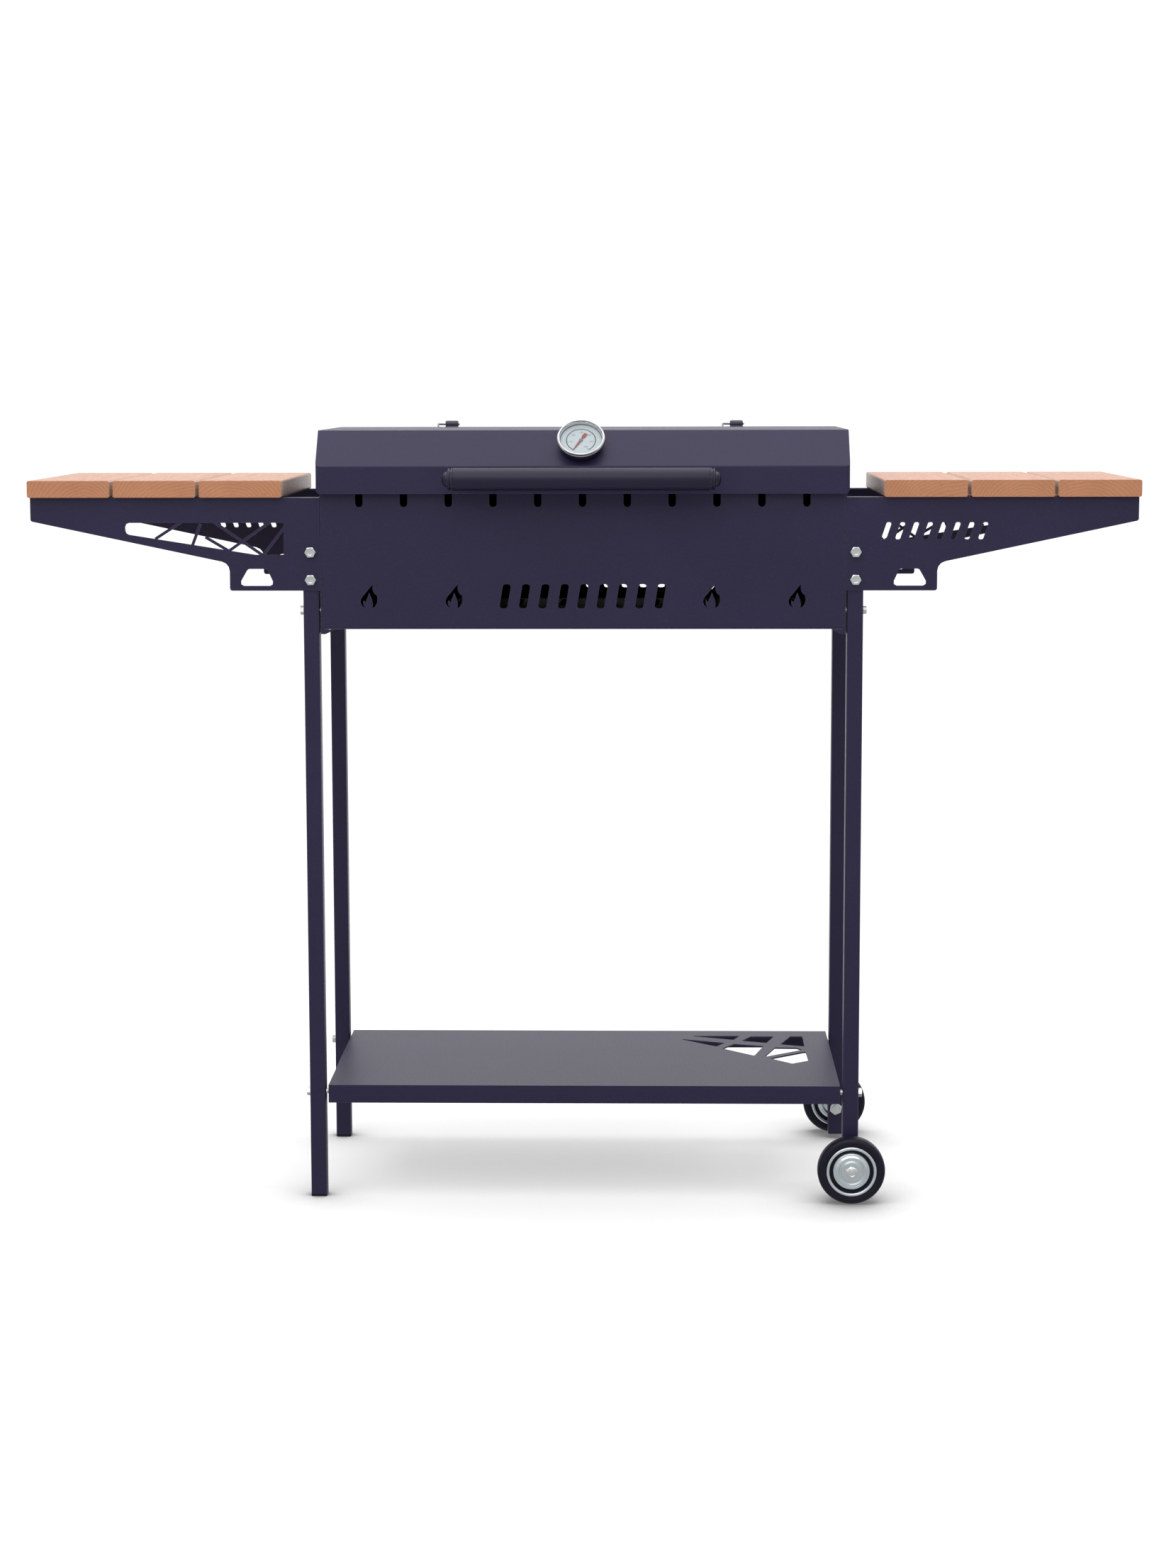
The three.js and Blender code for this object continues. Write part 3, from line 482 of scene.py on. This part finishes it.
# ---------- wheels ----------
def make_wheel(row, out):
    """A rubber tyre on a plastic hub that is faced with pressed zinc plates. out points away
    from the leg."""
    body, tyre, disc = f"wheel_{row}", f"tyre_{row}", f"wheel_disc_{row}"
    low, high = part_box(tyre)
    centre, radius, half = (low + high) / 2, (high.z - low.z) / 2, (high.y - low.y) / 2
    rim = (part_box(disc)[1].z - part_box(disc)[0].z) / 2
    place = facing(centre, out)

    seat = rim + 0.2 * MM
    side = [(seat, half - 1.2 * MM), (rim + 1.2 * MM, half - 0.3 * MM), (rim + 3.2 * MM, half - 0.3 * MM),
            (rim + 3.8 * MM, half), (radius - 4.2 * MM, half - 0.1 * MM),
            (radius - 0.9 * MM, half - 2.6 * MM), (radius, half - 6.5 * MM)]
    outline = side + [(r, -h) for r, h in reversed(side)]
    mesh = spun(tyre + "_rubber", softened(outline, 1.6 * MM, 4), 128, closed=True)
    piece(tyre + "_rubber", mesh, RUBBER, body, place, [tyre])

    bore = 5.15 * MM
    hub = [(bore, half - 0.5 * MM), (17 * MM, half - 2 * MM), (rim - 6 * MM, half - 5 * MM),
           (rim - 3.9 * MM, half - 5 * MM), (rim - 3 * MM, half - 1.4 * MM), (rim, half - 1.4 * MM)]
    outline = hub + [(r, -h) for r, h in reversed(hub)]
    mesh = spun(disc + "_hub", softened(outline, 0.4 * MM), 96, closed=True)
    piece(disc + "_hub", mesh, PLASTIC, body, place, [disc])

    for end, sign in (("outer", 1), ("inner", -1)):
        face = place if sign > 0 else place @ Matrix.Rotation(math.pi, 4, "X")
        ring = [(rim - 4.3 * MM, half - 3.4 * MM), (rim - 3.9 * MM, half - 1.3 * MM),
                (rim - 3 * MM, half - 0.1 * MM), (rim - 1.6 * MM, half + 0.2 * MM),
                (rim - 0.3 * MM, half - 0.4 * MM), (rim, half - 1.2 * MM),
                (rim - 1 * MM, half - 1.3 * MM), (rim - 3 * MM, half - 1.1 * MM)]
        mesh = spun(f"{disc}_ring_{end}", softened(ring, 0.5 * MM), 128, closed=True)
        piece(f"{disc}_ring_{end}", mesh, TURNED_ZINC, body, face, [disc])
        plate = [(bore, half - 0.3 * MM), (bore, half + 1.3 * MM), (12.6 * MM, half + 1.3 * MM),
                 (13.5 * MM, half - 0.5 * MM), (15.2 * MM, half - 0.7 * MM), (16.4 * MM, half + 0.3 * MM),
                 (18.4 * MM, half + 0.4 * MM), (20.2 * MM, half - 1.4 * MM), (22.4 * MM, half - 1.7 * MM),
                 (24.2 * MM, half - 4.2 * MM), (23.6 * MM, half - 4.8 * MM), (19 * MM, half - 2.6 * MM),
                 (14 * MM, half - 1.6 * MM)]
        mesh = spun(f"{disc}_plate_{end}", softened(plate, 0.5 * MM, 4), 128, closed=True)
        piece(f"{disc}_plate_{end}", mesh, TURNED_ZINC, body, face, [disc])


def make_axle(row, out):
    """The bolt that a wheel turns on: domed hex head over a washer, a spacer tube between
    wheel and leg, and a nut behind the leg."""
    node = f"axle_{row}"
    low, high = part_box(node)
    length = high.y - low.y
    tip = middle(node) + out * length / 2
    place = facing(tip, out, 8 * DEG)
    leg_low, leg_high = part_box(f"leg_{row}_right")
    leg_outer = abs(tip.y - (leg_low.y if out.y < 0 else leg_high.y))
    leg_inner = leg_outer + (leg_high.y - leg_low.y)
    disc_low, disc_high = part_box(f"wheel_disc_{row}")
    wheel_outer = abs(tip.y - (disc_low.y if out.y < 0 else disc_high.y))
    wheel_inner = wheel_outer + (disc_high.y - disc_low.y)

    shank, head, washer = 5 * MM, 15 * MM, 18 * MM
    edge = hexagon(head)
    top = [(edge, -wheel_outer + 1.5 * MM), (edge, -1.6 * MM), (head * 0.44, -0.7 * MM), (head * 0.27, 0),
           (head * 0.2, -0.5 * MM), (head * 0.12, -0.1 * MM), (0, 0)]
    rings = [(0, -length), (shank * 0.8, -length)]
    rings += thread(shank, 0.3 * MM - length, 7 * MM - length, 1.2 * MM)
    rings += [(shank, 8 * MM - length), (shank, -wheel_outer + 0.3 * MM),
              (washer / 2, -wheel_outer + 0.3 * MM), (washer / 2, -wheel_outer + 1.5 * MM), *top]
    mesh = spun(f"{node}_screw", rings, 72, crease=20)
    piece(f"{node}_screw", mesh, ZINC, "stand", place, [node])

    tube = [(shank + 0.2 * MM, -wheel_inner - 0.3 * MM), (8.5 * MM, -wheel_inner - 0.3 * MM),
            (8.5 * MM, -leg_outer + 0.3 * MM), (shank + 0.2 * MM, -leg_outer + 0.3 * MM)]
    mesh = spun(f"{node}_spacer", softened(tube, 0.5 * MM), 64, closed=True)
    piece(f"{node}_spacer", mesh, ZINC, "stand", place, [node])

    nut = -leg_inner - 0.3 * MM
    rings = chamfered_hex(head, nut - 5.7 * MM, nut) + [(shank * 1.05, nut), (shank * 1.05, nut - 5.7 * MM)]
    piece(f"{node}_nut", spun(f"{node}_nut", rings, 72, closed=True), ZINC, "stand", place, [node])


# ---------- handle ----------
def make_handle():
    low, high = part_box("handle_tube")
    radius, centre = (high.z - low.z) / 2, (low + high) / 2
    half = (high.x - low.x) / 2
    bar = softened([(0, -half), (radius, -half), (radius, half), (0, half)], 0.6 * MM)
    piece("handle_bar", spun("handle_bar", bar, 96), ENAMEL, "lid",
          facing(centre, RIGHT), ["handle_tube"])
    for side, out in (("left", LEFT), ("right", RIGHT)):
        node = f"handle_cap_{side}"
        low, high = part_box(node)
        length = high.x - low.x
        start = (low + high) / 2 - out * length / 2
        dome = radius - 4.5 * MM
        rings = [(0, 0), (radius, 0), (radius, 1.5 * MM), (radius - 1.7 * MM, 2.2 * MM),
                 (radius - 1.7 * MM, 3.2 * MM), (radius - 0.5 * MM, 3.9 * MM), (radius - 0.4 * MM, 5.2 * MM),
                 (radius - 2.2 * MM, 6.4 * MM), (dome, 7 * MM)]
        rings = softened(rings, 0.45 * MM)[:-1]
        rise = length - 7 * MM
        rings += [(dome * math.cos(a * DEG), 7 * MM + rise * math.sin(a * DEG)) for a in range(0, 90, 10)]
        piece(node + "_turned", spun(node + "_turned", rings + [(0, length)], 96), CAP_ENAMEL, "lid",
              facing(start, out), [node])

        node = f"handle_post_{side}"
        low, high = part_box(node)
        foot, stem, depth = (high.z - low.z) / 2, 5 * MM, high.y - low.y
        back = Vector(((low.x + high.x) / 2, high.y, (low.z + high.z) / 2))
        # Reaches a little into the bar, so that it meets the bar's curve without a gap.
        rings = softened([(0, 0), (foot, 0), (foot, 2.2 * MM), (stem + 0.6 * MM, 2.6 * MM), (stem, 4 * MM),
                          (stem, depth), (0, depth)], 0.5 * MM)
        piece(node + "_turned", spun(node + "_turned", rings, 64), ENAMEL, "lid",
              facing(back, FORWARD), [node])


# ---------- hinges ----------
def make_hinges():
    for side in ("left", "right"):
        node = f"hinge_barrel_{side}"
        low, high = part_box(node)
        radius = (high.z - low.z) / 2
        axis = Vector((0, JOINTS["lid_hinge"]["pos_m"][1], JOINTS["lid_hinge"]["pos_m"][2]))
        half = (high.x - low.x) / 2
        bore = 2.35 * MM
        outline = [(bore, -half), (radius - 1.4 * MM, -half), (radius, 1.4 * MM - half),
                   (radius, half - 1.4 * MM), (radius - 1.4 * MM, half), (bore, half)]
        centre = Vector(((low.x + high.x) / 2, axis.y, axis.z))
        mesh = spun(node + "_turned", softened(outline, 0.8 * MM, 4), 64, closed=True)
        piece(node + "_turned", mesh, PHOSPHATED, "lid", facing(centre, RIGHT), [node])
        weld_seat = low.z + 0.1 * MM
        weld_bead(node + "_turned_weld", low.x + 1 * MM, high.x - 1 * MM, low.y + 2.2 * MM, weld_seat, "lid")

        node = f"hinge_pin_{side}"
        low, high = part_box(node)
        pin, lug = 2.2 * MM, 2.6 * MM
        length = high.x - low.x
        start = Vector((low.x, axis.y, axis.z))
        rings = [(0, lug), (pin * 0.8, lug), *thread(pin, lug + 0.2 * MM, lug + 7.6 * MM, 1 * MM),
                 (pin, lug + 7.8 * MM), (pin, length - 0.8 * MM), (pin - 0.8 * MM, length), (0, length)]
        piece(node + "_turned", spun(node + "_turned", rings, 48), ZINC, "stand",
              facing(start, RIGHT), [node])
        make_lug(node + "_lug", start, lug, axis, high.y, low.z, node)


def make_lug(name, start, thick, axis, back, seat, node):
    """The plate that holds a hinge pin: a round eye on a foot that stands on the rear hood."""
    eye = 3.2 * MM
    outline = [(axis.y - eye, seat), (back, seat), (back, seat + 1.5 * MM)]
    for degrees in range(0, 181, 12):
        a = degrees * DEG
        outline.append((axis.y + eye * math.cos(a), axis.z + eye * math.sin(a)))
    mesh = prism(name, [[(start.x + dx, y, z) for y, z in outline] for dx in (0, thick)])
    soften_edges(piece(name, mesh, ZINC, "stand", None, [node]), 0.3 * MM)


def weld_bead(name, x0, x1, y, z, body):
    """A line of overlapping weld ripples along X."""
    work = bmesh.new()
    count = int((x1 - x0) / (1.1 * MM))
    for i in range(count + 1):
        x = x0 + (x1 - x0) * i / count
        size = 1.15 * MM * (1 + 0.12 * math.sin(i * 2.4))
        place = Matrix.Translation((x, y, z)) @ Matrix.Diagonal((size * 0.8, size, size * 0.8, 1))
        bmesh.ops.create_icosphere(work, subdivisions=2, radius=1, matrix=place)
    mesh = bpy.data.meshes.new(name)
    work.to_mesh(mesh)
    work.free()
    outward(mesh)
    piece(name, mesh, PHOSPHATED, body)


# ---------- thermometer ----------
TIP_ANGLE = -120 * DEG  # the pointer at rest, from the dial's +X


def dial_place():
    """The dial's own frame at the pointer's pivot: +X right, +Y up the slope, +Z out."""
    joint = JOINTS["pointer_turn"]
    out = Vector(joint["axis"]).normalized()
    up_slope = out.cross(RIGHT)
    turn = Matrix((RIGHT, up_slope, out)).transposed().to_4x4()
    return Matrix.Translation(joint["pos_m"]) @ turn


def make_thermometer():
    place = dial_place()
    low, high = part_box("thermometer_cup")
    radius = (high.x - low.x) / 2
    face = (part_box("thermometer_dial")[1].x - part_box("thermometer_dial")[0].x) / 2
    panel = -10.5 * MM
    top = 6.5 * MM

    stem, tip = 3 * MM, panel - 48 * MM
    cup = softened([
        (0, tip), (stem * 0.6, tip), (stem, tip + 2 * MM), (stem, panel - 8 * MM), (stem, panel + 0.3 * MM),
        (radius - 5 * MM, panel + 0.3 * MM), (radius - 3.4 * MM, panel + 1.6 * MM),
        (radius - 2.8 * MM, 0.4 * MM), (face + 0.3 * MM, 0.4 * MM), (face + 0.3 * MM, -1.4 * MM),
        (0, -1.4 * MM)], 0.6 * MM)
    piece("thermometer_body", spun("thermometer_body", cup, 128), ENAMEL, "lid", place,
          ["thermometer_cup"])

    lip = softened([
        (radius - 2.6 * MM, 0.6 * MM), (radius - 0.8 * MM, 1 * MM), (radius - 0.4 * MM, 2 * MM),
        (radius - 0.4 * MM, top - 2.8 * MM), (radius - 1.6 * MM, top - 0.9 * MM),
        (radius - 2.5 * MM, top - 0.3 * MM), (radius - 3.1 * MM, top - 0.9 * MM),
        (face + 0.35 * MM, top - 3 * MM), (face + 0.3 * MM, 0.6 * MM)], 0.7 * MM, 4)
    piece("thermometer_bezel", spun("thermometer_bezel", lip, 160, closed=True), CHROME, "lid",
          place, ["thermometer_cup"])

    plate = softened([(0, -1.2 * MM), (face, -1.2 * MM), (face, -0.4 * MM), (0, -0.4 * MM)], 0.15 * MM)
    piece("thermometer_face", spun("thermometer_face", plate, 128), DIAL_WHITE, "lid", place,
          ["thermometer_dial"])
    piece("thermometer_scale", dial_print(-0.36 * MM), DIAL_INK, "lid", place)

    lens = [(0, 2.6 * MM), (face, 2.6 * MM), (face, 3.9 * MM), (face * 0.6, 4.1 * MM), (0, 4.1 * MM)]
    lens = softened(lens, 0.3 * MM)
    piece("thermometer_lens", spun("thermometer_lens", lens, 96), GLASS, "lid", place,
          ["thermometer_glass"])
    make_pointer(place)
    make_dial_nut(place, panel)


def make_dial_nut(place, panel):
    low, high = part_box("thermometer_nut")
    corners = (high.x - low.x) / 2
    flats = corners * math.sqrt(3)
    start = panel - 2.3 * MM
    rings = chamfered_hex(flats, start - 4 * MM, start) + [(3.25 * MM, start), (3.25 * MM, start - 4 * MM)]
    piece("thermometer_hex", spun("thermometer_hex", rings, 72, closed=True), ZINC, "lid", place,
          ["thermometer_nut"])


def strip(points, width, height):
    """Quads along a flat line at one height: (vertices, faces)."""
    vertices, faces = [], []
    for i, point in enumerate(points):
        ahead = Vector(points[min(i + 1, len(points) - 1)]) - Vector(points[max(i - 1, 0)])
        across = Vector((-ahead.y, ahead.x)).normalized() * width / 2
        for sign in (1, -1):
            vertices.append((point[0] + sign * across.x, point[1] + sign * across.y, height))
    for i in range(len(points) - 1):
        faces.append((2 * i, 2 * i + 1, 2 * i + 3, 2 * i + 2))
    return vertices, faces


def dial_print(height):
    """The scale: an open ring, tick marks inside it and plain numbers every 50 degrees C."""
    ring, first, last = 18 * MM, 240, -60
    work = bmesh.new()

    def add_strip(points, width):
        vertices, faces = strip(points, width, height)
        made = [work.verts.new(vertex) for vertex in vertices]
        for face in faces:
            work.faces.new([made[i] for i in face])

    def at(angle, radius):
        return (radius * math.cos(angle * DEG), radius * math.sin(angle * DEG))

    add_strip([at(first + (last - first) * i / 72, ring) for i in range(73)], 1.2 * MM)
    steps = 30
    for i in range(steps + 1):
        angle = first + (last - first) * i / steps
        inner = ring - (3 * MM if i % 5 == 0 else 1.6 * MM)
        add_strip([at(angle, inner), at(angle, ring)], 0.45 * MM if i % 5 == 0 else 0.3 * MM)
    for i in range(7):
        angle = first + (last - first) * i / 6
        add_number(work, str(50 * i), at(angle, ring - 5.6 * MM), height)
    mesh = bpy.data.meshes.new("thermometer_scale")
    work.to_mesh(mesh)
    work.free()
    return mesh


def add_number(work, text, position, height):
    """Adds a flat number to a mesh under construction."""
    curve = bpy.data.curves.new("number", "FONT")
    curve.body = text
    curve.size = 3.2 * MM
    curve.align_x = "CENTER"
    curve.align_y = "CENTER"
    holder = new_object("number", curve)
    mesh = bpy.data.meshes.new_from_object(holder)
    mesh.transform(Matrix.Translation((*position, height)))
    work.from_mesh(mesh)
    bpy.data.objects.remove(holder)
    bpy.data.curves.remove(curve)
    bpy.data.meshes.remove(mesh)


def make_pointer(place):
    """A red needle with a broad tail on a dark hub."""
    turned = place @ Matrix.Rotation(TIP_ANGLE, 4, "Z")
    edge = [(-12 * MM, 2.1 * MM), (-5.6 * MM, 2.5 * MM), (-4.2 * MM, 1.2 * MM), (4 * MM, 1.5 * MM),
            (19.6 * MM, 0.3 * MM)]
    outline = edge + [(x, -y) for x, y in reversed(edge)]
    low, high = 0.1 * MM, 0.6 * MM
    mesh = prism("pointer_needle", [[(x, y, z) for x, y in outline] for z in (low, high)])
    needle = piece("pointer_needle", mesh, POINTER_RED, "pointer", turned,
                   ["thermometer_pointer"])
    soften_edges(needle, 0.12 * MM)
    hub = [(0, -0.1 * MM), (2.4 * MM, -0.1 * MM), (2.4 * MM, 0.8 * MM), (1 * MM, 1 * MM), (0, 1 * MM)]
    hub = softened(hub, 0.3 * MM)
    piece("pointer_hub", spun("pointer_hub", hub, 48), DIAL_HUB, "pointer", turned,
          ["thermometer_pointer"])


# ---------- plank screws ----------
def make_plank_screws():
    """Pan-head screws up through the bracket flanges, two at each end of every plank."""
    for side in ("left", "right"):
        for row in ("front", "rear"):
            flange_low, flange_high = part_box(f"bracket_{row}_{side}")
            y = (flange_low.y + flange_high.y) / 2 + (3 * MM if row == "front" else -3 * MM)
            seat = flange_high.z - 2 * MM
            for i in (1, 2, 3):
                low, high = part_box(f"plank_{side}_{i}")
                for letter, step in (("a", 0.25), ("b", 0.75)):
                    position = Vector((low.x + (high.x - low.x) * step, y, seat))
                    name = f"plank_screw_{row}_{side}_{i}_{letter}"
                    plank_screw(name, facing(position, DOWN, i * 23 * DEG))


def plank_screw(name, place):
    """A pan head with a hexagon socket."""
    edge = hexagon(2.5 * MM)
    rings = softened([(0, 0), (4 * MM, 0), (4 * MM, 1.1 * MM), (2.9 * MM, 2.4 * MM)], 0.6 * MM)
    rings += [(edge, 2.4 * MM), (edge, 1 * MM), (0, 1 * MM)]
    piece(name, spun(name, rings, 48), ZINC, "stand", place)


# ---------- finish of the CAD nodes that stay ----------
def soften_edges(made, width, segments=2):
    """Small real roundings on the edges, with the flats kept flat."""
    bevel = made.modifiers.new("edges", "BEVEL")
    bevel.width = width
    bevel.segments = segments
    bevel.limit_method = "ANGLE"
    bevel.angle_limit = 28 * DEG
    normals = made.modifiers.new("flats", "WEIGHTED_NORMAL")
    normals.weight = 80


EDGE_WIDTH = {
    "powder_coat": 0.45 * MM, "black_enamel": 0.4 * MM, "wood": 1.1 * MM, "black_plastic": 0.7 * MM,
}


def finish_node(name):
    made = NODES[name]
    slot = SLOT_OF[name]
    if slot == "wood":
        low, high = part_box(name)
        index = int(name[-1])
        lean = 0.35 + 0.3 * ((index * 2 + ("left" in name)) % 3)
        depth = (22 + 17 * ((index + ("right" in name)) % 3)) * MM
        pith = (low.x + (high.x - low.x) * lean, low.z - depth)
        material = oiled_wood(f"wood_{name}", pith)
    # The box, lid and hood sheets take the painted inner shade.
    elif name.startswith(("firebox", "end_plate", "lid_shell", "rear_hood")):
        material = INNER_SHADED
    elif name == "coal_grate":
        material = BURNT
    else:
        material = MATERIALS[slot]
    made.data.materials.clear()
    made.data.materials.append(material)
    custom = made.data.attributes.get("custom_normal")
    if custom:
        made.data.attributes.remove(custom)
    made.data.shade_smooth()
    weld = made.modifiers.new("weld", "WELD")
    weld.merge_threshold = 0.005 * MM
    flat = made.modifiers.new("planar", "DECIMATE")
    flat.decimate_type = "DISSOLVE"
    flat.angle_limit = 0.5 * DEG
    soften_edges(made, EDGE_WIDTH.get(slot, 0.3 * MM))


# ---------- stage and light ----------
def make_paper():
    """Pale floor paper that glows a little, so that shadows on it stay light, with painted contact
    shadows: darkest where something touches it."""
    paper, tree, shader = new_material("sweep_paper")
    mottle = noise(tree, place_on(tree), 40.0)
    tone = blend_colours(tree, mottle, (0.54, 0.54, 0.54), (0.56, 0.56, 0.56))
    # Painted contact shadow: ambient occlusion turns the paper's colour and glow grey near the feet and wheels.
    contact_shadow = add_node(tree, "ShaderNodeAmbientOcclusion", {"Color": tone, "Distance": 0.11}, samples=8)
    shaded = blend_colours(tree, span(tree, contact_shadow.outputs["AO"], 0.5, 0.98), (0.16, 0.16, 0.16), tone)
    connect(tree, shader, Base_Color=shaded, Emission_Color=shaded)
    shader.inputs["Emission Strength"].default_value = 0.85
    shader.inputs["Roughness"].default_value = 0.9
    shader.inputs["Specular IOR Level"].default_value = 0.2
    return paper


def make_backdrop():
    """A plain white glow for the far surroundings."""
    backdrop, _, shader = new_material("backdrop")
    shader.inputs["Base Color"].default_value = (0, 0, 0, 1)
    shader.inputs["Emission Color"].default_value = (1, 1, 1, 1)
    shader.inputs["Emission Strength"].default_value = 1.06
    return backdrop


def add_stage(name, mesh, material, camera=True, glossy=False, diffuse=False):
    """One piece of the stage, seen only by the named kinds of ray."""
    mesh.shade_smooth()
    mesh.materials.append(material)
    made = new_object(name, mesh)
    made.visible_camera, made.visible_glossy, made.visible_diffuse = camera, glossy, diffuse
    return made


def quads(name, rows):
    """A mesh of quads between rows of points."""
    count = len(rows[0])
    faces = [(j * count + i, j * count + i + 1, (j + 1) * count + i + 1, (j + 1) * count + i)
             for j in range(len(rows) - 1) for i in range(count - 1)]
    mesh = bpy.data.meshes.new(name)
    mesh.from_pydata([point for row in rows for point in row], [], faces)
    return mesh


def make_stage():
    """A white bowl around a paper floor. The floor isn't mirrored in the object and its near
    part doesn't light it, so the stand's low parts stay dark. An unseen wall behind the object
    gives the tops their sheen."""
    paper, backdrop = make_paper(), make_backdrop()
    near, half, front = Vector((1.1, 0.9)), 6.0, -2.0
    back, curve, top = 3.2, 1.4, 6.0
    arc = [(curve * math.sin(a * DEG), curve - curve * math.cos(a * DEG)) for a in range(0, 91, 6)]

    wall = [[(x, y, z) for x in (-9.0, 9.0)]
            for y, z in [(near.y, 0.0), *((back - curve + y, z) for y, z in arc), (back, top)]]
    add_stage("sweep_wall", quads("sweep_wall", wall), paper, camera=False, glossy=True, diffuse=True)
    floors = {
        "sweep_near": ((-near.x, near.x), (-near.y, near.y), False),
        "sweep_front": ((-half, half), (front, -near.y), True),
        "sweep_left": ((-half, -near.x), (-near.y, near.y), True),
        "sweep_right": ((near.x, half), (-near.y, near.y), True),
    }
    for name, (columns, rows, lights_object) in floors.items():
        mesh = quads(name, [[(x, y, 0) for x in columns] for y in rows])
        add_stage(name, mesh, paper, diffuse=lights_object)
    profile = [(0, -1 * MM), *((7 + y, z - 1 * MM) for y, z in arc), (7 + curve, 9)]
    bowl = add_stage("bowl", spun("bowl", profile), backdrop)
    bowl.visible_shadow = False


def add_softbox(name, size, position, target, power):
    light = bpy.data.lights.new(name, "AREA")
    light.shape = "RECTANGLE"
    light.size, light.size_y = size
    light.energy = power
    lamp = new_object(name, light)
    aim = (Vector(target) - Vector(position)).to_track_quat("-Z", "Y").to_matrix().to_4x4()
    lamp.matrix_world = Matrix.Translation(position) @ aim


def make_light():
    """A soft box over the cook's side, a larger one above, a lit back wall, and a room that is
    darker below the horizon."""
    world = bpy.data.worlds.new("studio")
    bpy.context.scene.world = world
    world.use_nodes = True
    tree = world.node_tree
    direction = add_node(tree, "ShaderNodeTexCoord").outputs["Generated"]
    height = add_node(tree, "ShaderNodeSeparateXYZ", {0: direction})
    background = tree.nodes["Background"]
    background.inputs["Color"].default_value = (1, 1, 1, 1)
    tree.links.new(span(tree, height.outputs[2], -0.12, 0.1, 0.5, 0.68), background.inputs["Strength"])
    add_softbox("key", (4.5, 2.4), (-0.8, -3.3, 3.1), (0, 0.2, 0.4), 50)
    add_softbox("overhead", (6.5, 3.6), (0, -0.6, 4.2), (0, -0.3, 0), 110)
    add_softbox("wall_wash", (7.0, 1.6), (0, 1.3, 3.9), (0, 3.2, 1.2), 60)
    bpy.context.scene.view_settings.view_transform = "Standard"


make_camera()
make_bolts()
make_wheel("front", FORWARD)
make_wheel("rear", BACK)
make_axle("front", FORWARD)
make_axle("rear", BACK)
make_handle()
make_hinges()
make_thermometer()
make_plank_screws()
for node_name, node_object in NODES.items():
    if not node_object.hide_render:
        finish_node(node_name)
make_stage()
make_light()
